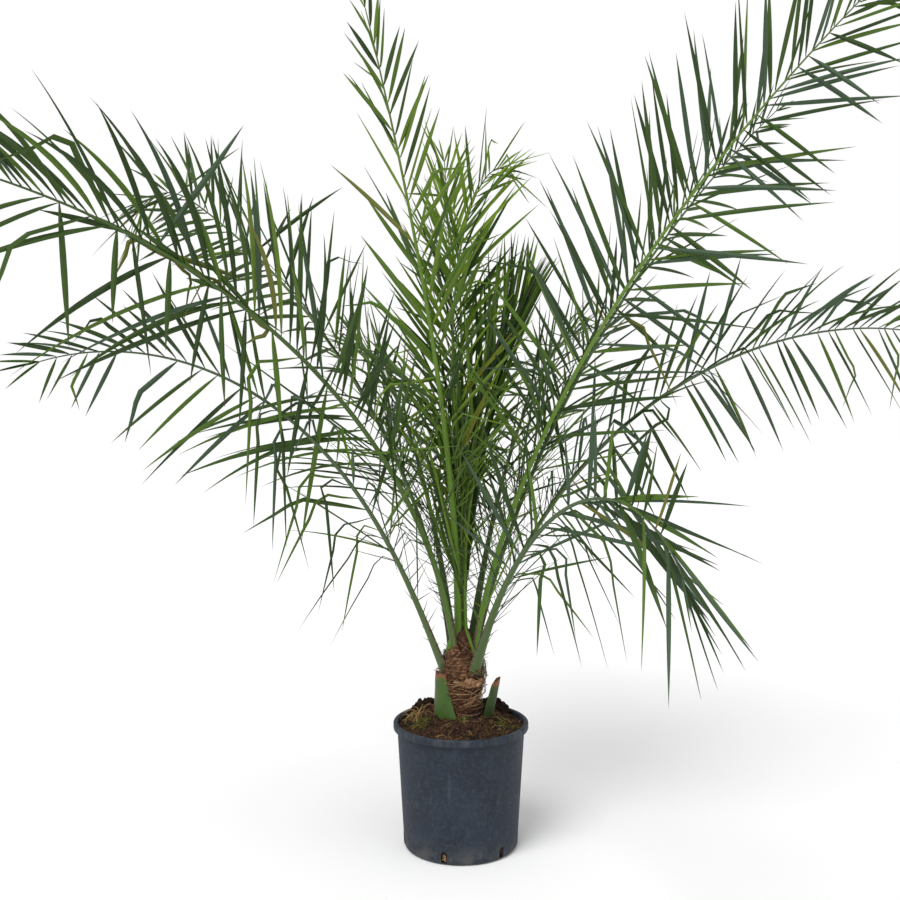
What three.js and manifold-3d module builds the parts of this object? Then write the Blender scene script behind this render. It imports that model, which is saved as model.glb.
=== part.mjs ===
// A young date palm in a plastic nursery pot: pot, soil, fibrous stem, cut leaf bases and fronds.
// Millimetres, +Z up. The origin is the centre of the pot's flat underside.
import * as THREE from "three";
import { mergeVertices } from "three/addons/utils/BufferGeometryUtils.js";
import Module from "manifold-3d";

const wasm = await Module();
wasm.setup();

const gap = 0.3; // left between touching pieces

// Pot: a tapered bucket with a rolled lip and a ring of drain slots at its foot
const potHeight = 380;
const lipRadius = 205;
const lipHeight = 22;
const lipOverhang = 12;
const lipRound = 5;
const footRadius = 173;
const footRound = 14;
const footBulge = 40; // height of the bulged foot
const wall = 3;
const floorThickness = 4;
const roundSegments = 48;
const drainCount = 6;
const drainTurn = -17; // degrees, of the first slot from -Y
const drain = { width: 20, height: 34, bottom: 7 };

// Soil: a mound that starts a little under the lip
const soilDrop = 12;
const moundHeight = 30;
const moundRadius = 100;
const soilTop = potHeight - soilDrop + moundHeight;

// Stem: radius at heights above the soil, from the flare at its foot to its tip
const stemFoot = soilTop + gap;
const stemSegments = 20;
const stemLean = 1.5; // degrees towards +X
const stemProfile = [
  [53, 0], [46, 18], [49, 45], [56, 85], [60, 125], [55, 168], [42, 212], [27, 248], [14, 266],
];

// Leaf bases that were cut off: where they stand round the stem and the way that they face
// (degrees from +X), distance from the axis, outward lean in degrees, width at foot and top, height
const stubs = [
  { name: "stub_front_left", at: 212, turn: 232, seat: 64, lean: 4, width: [62, 38], height: 134 },
  { name: "stub_right", at: 355, turn: 318, seat: 80, lean: 13, width: [46, 30], height: 118 },
  { name: "stub_back", at: 68, turn: 68, seat: 66, lean: 9, width: [50, 34], height: 96 },
  { name: "stub_back_left", at: 140, turn: 140, seat: 66, lean: 8, width: [44, 30], height: 74 },
];
const stubThickness = 12;
const tornEdge = 6; // how uneven the cut is
// A stub's section, as shares of its width and of its thickness: flat inside and bowed outside
const stubSection = [[-0.5, 0], [0.5, 0], [0.5, 0.5], [0.25, 1.3], [-0.25, 1.3], [-0.5, 0.5]];

// Fronds stand in three rings round the stem. Seat is the foot's distance from the axis and foot
// its height above the soil; stout is the width at the foot, and rib the width above it, where a
// frond has none of its own.
const rings = {
  outer: { seat: 42, foot: 100, stout: 46, rib: 25 },
  middle: { seat: 35, foot: 130, stout: 30, rib: 24 },
  inner: { seat: 19, foot: 183, stout: 22, rib: 20 },
};

// Each frond's rib: at is where its foot stands round the stem and turn the way that it heads
// (degrees from +X), lift the angle of its foot above level, fall how far that angle drops by the
// tip, ease how late it drops, sweep its sideways turn and twist how far its blade rolls.
// Leaf is its longest leaflet, open a leaflet's angle from the rib, pairs how many it has, and split
// where the rib is parted, as a share of its length. Hang is the angle that the leaflets of its low
// side hang by, negative for the left side, and tipLeaf how much longer they grow towards its tip.
// Nod is how much further a limp tip drops, and swell widens the spear, which is still folded.
const fronds = [
  { name: "frond_left_high", ring: "middle", at: 238, turn: 210, lift: 88, length: 2300, fall: 85,
    ease: 0.8, sweep: 10, twist: 95, leaf: 430, open: 46, pairs: 30, split: 0.58, hang: 20 },
  { name: "frond_right_high", ring: "middle", at: 342, turn: 338, lift: 88, length: 2250, fall: 46,
    ease: 0.6, sweep: -5, twist: -95, leaf: 400, open: 52, pairs: 32, split: 0 },
  { name: "frond_right_low", ring: "outer", at: 12, turn: 3, lift: 79, length: 2150, fall: 92,
    ease: 1, sweep: 15, twist: -80, leaf: 330, open: 46, pairs: 26, split: 0.6, hang: -35 },
  { name: "frond_left_low", ring: "outer", at: 200, turn: 208, lift: 68, length: 1650, fall: 86,
    ease: 2, sweep: -8, twist: 80, leaf: 380, open: 46, pairs: 24, split: 0.66, hang: 42 },
  { name: "frond_front_right", ring: "outer", at: 308, turn: 307, lift: 67, length: 1350, fall: 113,
    ease: 1.65, sweep: -20, twist: -100, leaf: 350, open: 48, pairs: 17, split: 0.62, tipLeaf: 0.35 },
  { name: "frond_tallest", ring: "inner", at: 210, turn: 229, lift: 97, length: 1870, fall: 29,
    ease: 0.5, sweep: 4, twist: 10, leaf: 380, open: 38, pairs: 26, split: 0, stout: 24, rib: 30,
    tipLeaf: -0.4 },
  { name: "frond_left_back", ring: "middle", at: 150, turn: 147, lift: 90, length: 2300, fall: 66,
    ease: 0.65, sweep: -2, twist: 130, leaf: 300, open: 46, pairs: 26, split: 0, nod: 80 },
  { name: "frond_right_back", ring: "middle", at: 36, turn: 37, lift: 78, length: 2300, fall: 38,
    ease: 0.65, sweep: -9, twist: -80, leaf: 300, open: 46, pairs: 26, split: 0 },
  { name: "frond_young_front", ring: "inner", at: 44, turn: 21, lift: 94, length: 1700, fall: 103,
    ease: 5, sweep: 44, twist: 60, leaf: 340, open: 34, pairs: 20, split: 0, stout: 20, rib: 15 },
  { name: "frond_young_back", ring: "inner", at: 122, turn: 98, lift: 88, length: 1590, fall: 21,
    ease: 1.1, sweep: 0, twist: 10, leaf: 330, open: 30, pairs: 20, split: 0, stout: 20, rib: 15 },
  { name: "frond_spear", ring: "inner", at: 318, turn: 13, lift: 94, length: 1235, fall: 36,
    ease: 1.25, sweep: -12, twist: 0, leaf: 260, open: 13, pairs: 12, split: 0, swell: 28 },
  { name: "frond_back_right", ring: "outer", at: 62, turn: 64, lift: 76, length: 1850, fall: 74,
    ease: 1.1, sweep: 6, twist: -60, leaf: 320, open: 46, pairs: 20, split: 0.62 },
  { name: "frond_back_left", ring: "outer", at: 114, turn: 114, lift: 76, length: 1800, fall: 80,
    ease: 1.2, sweep: -6, twist: 60, leaf: 320, open: 46, pairs: 20, split: 0.62 },
  { name: "frond_back", ring: "middle", at: 92, turn: 88, lift: 83, length: 1950, fall: 58,
    ease: 0.9, sweep: 4, twist: 40, leaf: 320, open: 46, pairs: 20, split: 0 },
];

// The blade runs along this share of the rib; below it the rib is bare but for spines
const bladeStart = 0.3;
const bladeEnd = 0.975;
const petioleStops = [0.03, 0.06, 0.1]; // sections of the bare rib under the spines
const nodStart = 0.84; // share of the rib's length where a limp tip begins to drop
const tipWidth = 5;
const ribDepth = 0.62; // depth over width
const ridgeShare = 0.6; // of the depth that lies above the centre line
const sheathLength = 110; // over which the foot narrows to the rib
const ribSteps = 90; // straight steps that the bent rib is walked in

// Spines are the lowest leaflets, short and stiff
const spineStart = 0.15;
const spineLength = [66, 95, 123]; // from the lowest pair up
const spineWidth = 8;
const spineOpen = 50; // degrees from the rib

// Leaflets
const leafRoot = 15; // length of rib that a leaflet springs from
const leafWidth = 27;
const leafSlenderness = 85; // length over thickness
const leafWidest = 0.34;
const leafSag = 0.07;
const leafLift = { least: 8, most: 52, step: 18 }; // degrees out of the blade's plane
const hangSpread = { least: 0.5, most: 1.3 }; // of the angle that a low side's leaflets hang by
const leafSpread = { open: 7, roll: 30, length: 0.24 }; // how much leaflets differ: degrees and share
const leafThinnest = 3;
const leafCrowd = 0.16; // how far neighbours near the foot close up in pairs, as a share of the gap
const terminalShare = 0.3; // the rib's own point, as a share of the longest leaflet
const leafClearance = 1.2; // kept between leaflets, and between them and every rib

const degrees = THREE.MathUtils.degToRad;

const materials = {
  pot: new THREE.MeshStandardMaterial({ color: 0x3e4855, roughness: 0.75 }),
  soil: new THREE.MeshStandardMaterial({ color: 0x4a3626, roughness: 1 }),
  stem: new THREE.MeshStandardMaterial({ color: 0x6b4a33, roughness: 0.95 }),
  stub: new THREE.MeshStandardMaterial({ color: 0x4f7d2e, roughness: 0.6 }),
  frond: new THREE.MeshStandardMaterial({ color: 0x3d6b32, roughness: 0.55 }),
  youngFrond: new THREE.MeshStandardMaterial({ color: 0x6d9a35, roughness: 0.5 }),
};

// ---- helpers ----

// A repeatable number from 0 to 1 for each seed
function chance(seed) {
  const x = Math.sin(seed * 12.9898 + 4.1) * 43758.5453;
  return x - Math.floor(x);
}

// A closed geometry as a solid that can be joined and cut
function toSolid(geometry) {
  const bare = geometry.clone();
  bare.deleteAttribute("normal");
  bare.deleteAttribute("uv");
  const merged = mergeVertices(bare, 1e-4);
  const vertProperties = new Float32Array(merged.attributes.position.array);
  const triVerts = new Uint32Array(merged.index.array);
  return new wasm.Manifold(new wasm.Mesh({ numProp: 3, vertProperties, triVerts }));
}

function toGeometry(solid) {
  const { vertProperties, triVerts } = solid.getMesh();
  const geometry = new THREE.BufferGeometry();
  geometry.setAttribute("position", new THREE.BufferAttribute(vertProperties, 3));
  geometry.setIndex(new THREE.BufferAttribute(triVerts, 1));
  geometry.computeVertexNormals();
  return geometry;
}

// A geometry from points and triples of their numbers
function facets(points, triangles) {
  const geometry = new THREE.BufferGeometry().setFromPoints(points);
  geometry.setIndex(triangles.flat());
  geometry.computeVertexNormals();
  return geometry;
}

// A turned shape about +Z from [radius, height] pairs that run up its outside
function turned(profile, segments) {
  const points = profile.map(([radius, height]) => new THREE.Vector2(radius, height));
  return new THREE.LatheGeometry(points, segments).rotateX(Math.PI / 2);
}

function addMesh(group, name, geometry, material) {
  const mesh = new THREE.Mesh(geometry, material);
  mesh.name = name;
  group.add(mesh);
}

// ---- pot and soil ----

const lipFloor = potHeight - lipHeight;

// The outside of the pot's tapered wall
function wallRadius(height) {
  const share = Math.max(0, height - footRound) / (lipFloor - footRound);
  return footRadius + (lipRadius - lipOverhang - footRadius) * share;
}

// The pot: up its outside, over the lip and down its inside, with drain slots cut at its foot
function potGeometry() {
  const outside = [
    [0, 0], [footRadius - footRound, 0], [footRadius - footRound * 0.3, footRound * 0.3],
    [footRadius + 1, footBulge / 2], [wallRadius(footBulge), footBulge],
    [wallRadius(lipFloor), lipFloor], [lipRadius - lipRound / 2, lipFloor],
    [lipRadius, lipFloor + lipRound], [lipRadius, potHeight - lipRound],
    [lipRadius - lipRound, potHeight], [lipRadius - 2 * lipRound, potHeight],
  ];
  const inside = [
    [wallRadius(lipFloor) - wall, lipFloor - wall], [wallRadius(footBulge) - wall, footBulge],
    [wallRadius(footRound) - wall, footRound], [footRadius - footRound, floorThickness],
    [0, floorThickness],
  ];
  let pot = toSolid(turned([...outside, ...inside], roundSegments));
  for (let i = 0; i < drainCount; i++) {
    const slot = new THREE.BoxGeometry(drain.width, footRound * 4, drain.height);
    slot.translate(0, -footRadius, drain.bottom + drain.height / 2);
    slot.rotateZ(degrees(drainTurn + (i * 360) / drainCount));
    pot = pot.subtract(toSolid(slot));
  }
  return toGeometry(pot);
}

// The soil fills the pot and rises to a flat top round the stem
function soilGeometry() {
  const inner = (height) => wallRadius(height) - wall - gap;
  return turned([
    [0, floorThickness + gap], [footRadius - footRound - gap, floorThickness + gap],
    [inner(footRound), footRound + gap], [inner(footBulge), footBulge],
    [inner(lipFloor), lipFloor - wall], [inner(lipFloor) + 1, potHeight - soilDrop],
    [moundRadius, soilTop], [0, soilTop],
  ], roundSegments);
}

// ---- stem and cut leaf bases ----

// Leans a shape with the stem, which stands on the soil
function leaned(geometry) {
  const shear = new THREE.Matrix4().makeShear(0, 0, 0, 0, Math.tan(degrees(stemLean)), 0);
  return geometry.applyMatrix4(shear).translate(0, 0, stemFoot);
}

// The stem, made larger all round by grow
function stemGeometry(grow = 0) {
  const side = stemProfile.map(([radius, height]) => [radius + grow, height + grow]);
  const foot = side[0][0];
  const top = side.at(-1)[1];
  return leaned(turned([[0, -grow], [foot, -grow], ...side.slice(1), [0, top]], stemSegments));
}

// A slab that stands on the soil, leans out from the stem and ends in a torn edge
function stubGeometry({ at, turn, seat, lean, width, height }) {
  const end = (share) => stubSection.map(([x, y], i) => new THREE.Vector3(
    x * width[share],
    y * stubThickness * (1 - 0.3 * share) + share * height * Math.tan(degrees(lean)),
    share * (height + tornEdge * Math.sin(i * 2.4)),
  ));
  const count = stubSection.length;
  const triangles = [];
  for (let i = 0; i < count; i++) {
    const j = (i + 1) % count;
    triangles.push([i, j, j + count], [i, j + count, i + count]);
  }
  for (let i = 1; i + 1 < count; i++) {
    triangles.push([0, i + 1, i], [count, i + count, i + count + 1]);
  }
  return facets([...end(0), ...end(1)], triangles)
    .rotateZ(degrees(turn - 90))
    .translate(seat * Math.cos(degrees(at)), seat * Math.sin(degrees(at)), soilTop + gap);
}

// ---- fronds ----

// The rib's direction at share t of its length, with its upper side and its right-hand side
function ribAxes(frond, t) {
  const nod = (frond.nod ?? 0) * Math.max(0, (t - nodStart) / (1 - nodStart)) ** 1.5;
  const rise = degrees(frond.lift - frond.fall * t ** frond.ease - nod);
  const turn = degrees(frond.turn + frond.sweep * t);
  const level = new THREE.Vector3(Math.cos(turn), Math.sin(turn), 0);
  const along = level.clone().multiplyScalar(Math.cos(rise)).setZ(Math.sin(rise));
  const up = level.clone().multiplyScalar(-Math.sin(rise)).setZ(Math.cos(rise));
  up.applyAxisAngle(along, degrees(frond.twist) * t);
  return { along, up, side: along.clone().cross(up) };
}

// Where the rib's foot meets the leaning stem
function ribFoot({ ring, at }) {
  const { seat, foot } = rings[ring];
  const lean = foot * Math.tan(degrees(stemLean));
  return new THREE.Vector3(
    seat * Math.cos(degrees(at)) + lean, seat * Math.sin(degrees(at)), stemFoot + foot);
}

// Where the rib's centre line is at share t of its length
function ribPoint(frond, t) {
  const point = ribFoot(frond);
  for (let i = 0; i < ribSteps; i++) {
    const { along } = ribAxes(frond, (t * (i + 0.5)) / ribSteps);
    point.addScaledVector(along, (t * frond.length) / ribSteps);
  }
  return point;
}

// The rib tapers from a stout sheath at its foot; the spear's widens where its leaflets are folded
function ribWidth(frond, t) {
  const { stout, rib } = { ...rings[frond.ring], ...frond };
  const sheath = (stout - rib) * Math.exp((-t * frond.length) / sheathLength);
  const folded = (frond.swell ?? 0) * Math.sin(Math.PI * t ** 0.8) ** 1.5;
  return tipWidth + (rib - tipWidth) * (1 - t) + sheath + folded;
}

// The three corners of the rib's section at t: right, left and ridge
function ribSection(frond, t) {
  const { up, side } = ribAxes(frond, t);
  const width = ribWidth(frond, t);
  const depth = width * ribDepth;
  const centre = ribPoint(frond, t);
  const floor = centre.clone().addScaledVector(up, -depth * (1 - ridgeShare));
  return [
    floor.clone().addScaledVector(side, width / 2),
    floor.clone().addScaledVector(side, -width / 2),
    centre.clone().addScaledVector(up, depth * ridgeShare),
  ];
}

// Where leaflets spring from the rib, with each pair's length, width and angle from the rib
function leafStations(frond) {
  const stations = [];
  spineLength.forEach((length, i) => {
    const t = spineStart + ((bladeStart - spineStart) * i) / spineLength.length;
    stations.push({ t, length, width: spineWidth, open: spineOpen });
  });
  for (let i = 0; i < frond.pairs; i++) {
    const u = i / (frond.pairs - 1);
    const crowd = (i % 2 ? -leafCrowd : leafCrowd) * (1 - u);
    const t = bladeStart + ((bladeEnd - bladeStart) * (i + crowd)) / (frond.pairs - 1);
    stations.push({
      t,
      length: frond.leaf * (0.4 + 0.6 * Math.sin(Math.PI * (0.25 + 0.65 * u)))
        * (1 + (frond.tipLeaf ?? 0) * u ** 2),
      width: leafWidth * (0.8 + 0.2 * Math.sin(Math.PI * u)),
      open: frond.open * (1.15 - 0.6 * u ** 2),
    });
  }
  return stations;
}

// A leaflet on four corners of the rib's side, as its four widest corners and its tip
function leafletShape(frond, station, sideways, corners, lift, seed) {
  const { along, up, side } = ribAxes(frond, station.t);
  const open = degrees(station.open + leafSpread.open * (chance(seed) - 0.5));
  const out = side.clone().multiplyScalar(sideways * Math.cos(lift)).addScaledVector(up, Math.sin(lift));
  const point = along.clone().multiplyScalar(Math.cos(open)).addScaledVector(out, Math.sin(open));
  const across = along.clone().addScaledVector(point, -along.dot(point)).normalize();
  across.applyAxisAngle(point, degrees(leafSpread.roll) * (chance(seed + 0.5) - 0.5));
  const face = point.clone().cross(across).multiplyScalar(sideways);
  const length = station.length * (1 + leafSpread.length * (chance(seed + 0.25) - 0.5));
  const root = corners.reduce((sum, c) => sum.add(c), new THREE.Vector3()).divideScalar(4);
  const sag = new THREE.Vector3(0, 0, -leafSag * length);
  const reach = (share) => root.clone().addScaledVector(point, length * share)
    .addScaledVector(sag, share ** 2);
  const halfWidth = station.width / 2;
  const halfDepth = Math.max(length / leafSlenderness, leafThinnest) / 2;
  const corner = (w, d) => reach(leafWidest).addScaledVector(across, w).addScaledVector(face, d);
  const widest = (w, d) => sideways < 0
    ? [corner(-w, -d), corner(-w, d), corner(w, d), corner(w, -d)]
    : [corner(-w, d), corner(-w, -d), corner(w, -d), corner(w, d)];
  const grown = leafClearance / 2;
  return {
    widest: widest(halfWidth, halfDepth),
    grown: widest(halfWidth + grown, halfDepth + grown),
    tip: reach(1),
    grownTip: reach(1 + 3 / length),
  };
}

// The sides of a leaflet: up from its four root corners, over its widest corners to its tip
function leafletSides(root, widest, tip) {
  const sides = [];
  for (let i = 0; i < 4; i++) {
    const j = (i + 1) % 4;
    sides.push([root[i], root[j], widest[j]], [root[i], widest[j], widest[i]]);
    sides.push([widest[i], widest[j], tip]);
  }
  return sides;
}

// A leaflet's own closed solid, a little larger than life, to test its room with
function leafletSpace(corners, shape) {
  const sides = leafletSides([0, 1, 2, 3], [4, 5, 6, 7], 8);
  const points = [...corners, ...shape.grown, shape.grownTip];
  return roomOf(facets(points, [...sides, [0, 2, 1], [0, 3, 2]]));
}

// A closed geometry as a solid with its box
function roomOf(geometry) {
  geometry.computeBoundingBox();
  return { box: geometry.boundingBox, solid: toSolid(geometry) };
}

function meets(one, other) {
  return one.box.intersectsBox(other.box) && !one.solid.intersect(other.solid).isEmpty();
}

// The bare rib as a closed solid, a little larger than life
function ribSpace(frond) {
  const count = 24;
  const points = [];
  for (let i = 0; i <= count; i++) {
    const section = ribSection(frond, i / count);
    const centre = section.reduce((sum, c) => sum.add(c), new THREE.Vector3()).divideScalar(3);
    for (const corner of section) {
      const outward = corner.clone().sub(centre).setLength(leafClearance);
      points.push(corner.clone().add(outward));
    }
  }
  const triangles = [[0, 2, 1], [3 * count, 3 * count + 1, 3 * count + 2]];
  for (let i = 0; i < count; i++) triangles.push(...ribSides(i * 3, i * 3 + 3).flat());
  return roomOf(facets(points, triangles));
}

// The rib's three sides between two sections, each as two triangles: under, left and right
function ribSides(near, far) {
  return [0, 1, 2].map((k) => {
    const next = (k + 1) % 3;
    return [[near + k, near + next, far + next], [near + k, far + next, far + k]];
  });
}

// How high a leaflet may stand out of the blade's plane, in the order that it tries them
function leafLifts({ hang = 0 }, sideways, seed) {
  const share = chance(seed + 0.75);
  const first = sideways * hang > 0
    ? -Math.abs(hang) * (hangSpread.least + (hangSpread.most - hangSpread.least) * share)
    : leafLift.least + (leafLift.most - leafLift.least) * share;
  return [first, first - leafLift.step, first + leafLift.step, first - 2 * leafLift.step].map(degrees);
}

// A leaflet at the first lift that leaves every solid in taken alone, with the space that it takes
function fitLeaflet(frond, station, sideways, corners, seed, taken) {
  for (const lift of leafLifts(frond, sideways, seed)) {
    const shape = leafletShape(frond, station, sideways, corners, lift, seed);
    const space = leafletSpace(corners, shape);
    if (!taken.some((other) => meets(space, other))) return { shape, space };
  }
  return null;
}

// Plans a frond: its sections from foot to tip, and the leaflets that find room between them
function planFrond(frond, number, taken) {
  const plan = { frond, sections: [], leaflets: [] };
  const addSection = (t) => plan.sections.push({ t, corners: ribSection(frond, t) });
  petioleStops.forEach(addSection);
  leafStations(frond).forEach((station, i) => {
    const halfRoot = leafRoot / frond.length / 2;
    const index = plan.sections.length;
    addSection(station.t - halfRoot);
    addSection(station.t + halfRoot);
    const [near, far] = plan.sections.slice(index).map((section) => section.corners);
    const others = taken.filter((other) => other.leaf || other.number !== number);
    for (const [sideways, k] of [[-1, 1], [1, 2]]) {
      const next = (k + 1) % 3;
      const corners = [near[k], near[next], far[next], far[k]];
      const seed = number * 97 + i * 2.37 + sideways;
      const leaflet = fitLeaflet(frond, station, sideways, corners, seed, others);
      if (!leaflet) continue;
      plan.leaflets.push({ index, k, shape: leaflet.shape });
      taken.push({ ...leaflet.space, number, leaf: true });
    }
  });
  return plan;
}

// The closed surface of a planned frond between two shares of its rib's length
function frondGeometry({ frond, sections, leaflets }, from, to) {
  const inside = sections.map((section, index) => ({ ...section, index }))
    .filter(({ t }) => t > from && t < to);
  const cut = (t) => ({ t, corners: ribSection(frond, t), index: NaN });
  const run = [cut(from), ...inside, cut(to)];
  const points = run.flatMap(({ corners }) => corners);
  const triangles = [[0, 2, 1]];
  for (let i = 0; i + 1 < run.length; i++) {
    const sides = ribSides(i * 3, i * 3 + 3);
    sides.forEach((side, k) => {
      const whole = run[i + 1].index === run[i].index + 1;
      const leaflet = whole && leaflets.find((l) => l.index === run[i].index && l.k === k);
      if (!leaflet) {
        triangles.push(...side);
        return;
      }
      const next = (k + 1) % 3;
      const root = [i * 3 + k, i * 3 + next, i * 3 + 3 + next, i * 3 + 3 + k];
      const first = points.push(...leaflet.shape.widest, leaflet.shape.tip) - 5;
      triangles.push(...leafletSides(root, [0, 1, 2, 3].map((n) => first + n), first + 4));
    });
  }
  const last = (run.length - 1) * 3;
  if (to < 1) return facets(points, [...triangles, [last, last + 1, last + 2]]);
  const { along } = ribAxes(frond, 1);
  const tip = points.push(ribPoint(frond, 1).addScaledVector(along, frond.leaf * terminalShare)) - 1;
  for (let k = 0; k < 3; k++) triangles.push([last + k, last + ((k + 1) % 3), tip]);
  return facets(points, triangles);
}

// A frond's foot ends flush against the stem
function seatedOn(stem, geometry) {
  return toGeometry(toSolid(geometry).subtract(stem));
}

// ---- the plant ----

const palm = new THREE.Group();

addMesh(palm, "pot", potGeometry(), materials.pot);
addMesh(palm, "soil", soilGeometry(), materials.soil);
addMesh(palm, "stem", stemGeometry(), materials.stem);
for (const stub of stubs) addMesh(palm, stub.name, stubGeometry(stub), materials.stub);

const stemRoom = toSolid(stemGeometry(gap));
const taken = fronds.map((frond, number) => ({ ...ribSpace(frond), number }));

fronds.forEach((frond, number) => {
  const plan = planFrond(frond, number, taken);
  const material = frond.ring === "inner" ? materials.youngFrond : materials.frond;
  const split = frond.split || 1;
  addMesh(palm, frond.name, seatedOn(stemRoom, frondGeometry(plan, 0, split)), material);
  if (!frond.split) return;
  const from = split + gap / frond.length;
  addMesh(palm, `${frond.name}_outer`, frondGeometry(plan, from, 1), material);
});

export default palm;
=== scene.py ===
"""A young date palm in a nursery pot, dressed round its CAD solids.

Metres, +Z up. The origin is the centre of the pot's flat underside, as in the CAD.
Sizes are written in millimetres and turned into metres with MM.
"""

import math
import random
from types import SimpleNamespace

import bmesh
import bpy
import numpy as np
from mathutils import Matrix, Quaternion, Vector, noise


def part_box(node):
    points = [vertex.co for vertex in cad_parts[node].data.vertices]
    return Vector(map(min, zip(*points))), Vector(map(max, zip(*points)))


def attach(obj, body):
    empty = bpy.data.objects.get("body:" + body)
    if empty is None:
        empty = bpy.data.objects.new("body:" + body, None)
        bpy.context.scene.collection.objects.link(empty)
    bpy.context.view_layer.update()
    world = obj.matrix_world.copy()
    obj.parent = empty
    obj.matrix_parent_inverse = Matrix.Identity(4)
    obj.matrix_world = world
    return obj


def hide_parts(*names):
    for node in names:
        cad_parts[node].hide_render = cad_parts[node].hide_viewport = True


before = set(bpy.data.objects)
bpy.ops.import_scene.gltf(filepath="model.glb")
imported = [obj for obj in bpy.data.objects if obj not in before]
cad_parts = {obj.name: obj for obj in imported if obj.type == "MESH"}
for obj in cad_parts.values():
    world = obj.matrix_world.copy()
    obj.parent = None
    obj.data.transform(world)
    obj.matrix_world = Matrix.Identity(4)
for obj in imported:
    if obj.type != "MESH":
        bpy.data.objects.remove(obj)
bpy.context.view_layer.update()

MM = 0.001
UP = Vector((0, 0, 1))
DOWN = Vector((0, 0, -1))

pot_low, pot_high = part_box("pot")
soil_low, soil_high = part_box("soil")
stem_low, stem_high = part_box("stem")

# ---- the rule that the fronds grow by, as in the part's source; millimetres and degrees ----

STEM_FOOT = soil_high.z / MM + 0.3
STEM_LEAN = 1.5
STEM_PROFILE = [
    (53, 0), (46, 18), (49, 45), (56, 85), (60, 125), (55, 168), (42, 212), (27, 248), (14, 266),
]

# Clasp is how far a sheath spreads round the stem, and margin how far up its dry edge runs
RINGS = {
    "outer": SimpleNamespace(seat=42, foot=100, stout=46, rib=25, clasp=0.5, margin=210),
    "middle": SimpleNamespace(seat=35, foot=130, stout=30, rib=24, clasp=0.7, margin=170),
    "inner": SimpleNamespace(seat=19, foot=183, stout=22, rib=20, clasp=0.3, margin=0),
}
BLADE_START = 0.3
BLADE_END = 0.975
TIP_WIDTH = 5
RIB_DEPTH = 0.62
SHEATH_LENGTH = 110
TERMINAL_SHARE = 0.3

FINER = 2.0  # leaflets for each one of the solids
LEAF_WIDTH = 15.5
RANKS = ((34, 58), (2, 24), (-34, -8))  # the planes that leaflets stand in, out of the blade's own
SPEAR_LEAFLETS = 110
NOD_START = 0.84  # where a limp tip begins to drop
RIB_STEPS = 180
RIB_RINGS = 74
RIB_CORNERS = 14
RIB_EDGES = (0, 13, 6, 7)  # the corners of a rib's section that its dry margin runs along


def frond(ring, at, turn, lift, length, fall, ease, sweep, twist, leaf, opening, pairs, **looks):
    """A frond's shape, in the words of the part's source, and how its leaflets look."""
    plain = dict(
        stout=RINGS[ring].stout, wide=RINGS[ring].rib,
        swell=0,  # how far the unopened leaflets thicken the rib
        nod=0,  # how much further a limp tip drops
        start=-3,  # the step that its sheath starts at, below 0 where it goes in under the fibres
        outer=False,  # its blade's outer half is a node of its own
        finer=FINER, broad=1.0, longer=1.06, sag=0.08,
        lower=0, hang=25,  # the side that hangs, and by what angle
        arch=0.0,  # how far the other side's leaflets bend over towards the tip
        bare=0, gone=0.5,  # the side that has lost leaflets, and how many of them
        stray=0.03,  # how many leaflets point out of line
        lean=(),  # (side, from, to, share, pull, scale): leaflets drawn up, or down below 0
        drops=0, clinging=0,  # leaflets that hang straight down, and that lie along the rib
        kinks=0.06, limp=0.08, limp_to=0.4, wisps=17, tip=0.0, tone="full", rib="mid")
    plain.update(looks)
    return SimpleNamespace(
        ring=RINGS[ring], at=at, turn=turn, lift=lift, length=length, fall=fall, ease=ease,
        sweep=sweep, twist=twist, leaf=leaf, opening=opening, pairs=pairs, **plain)


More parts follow.
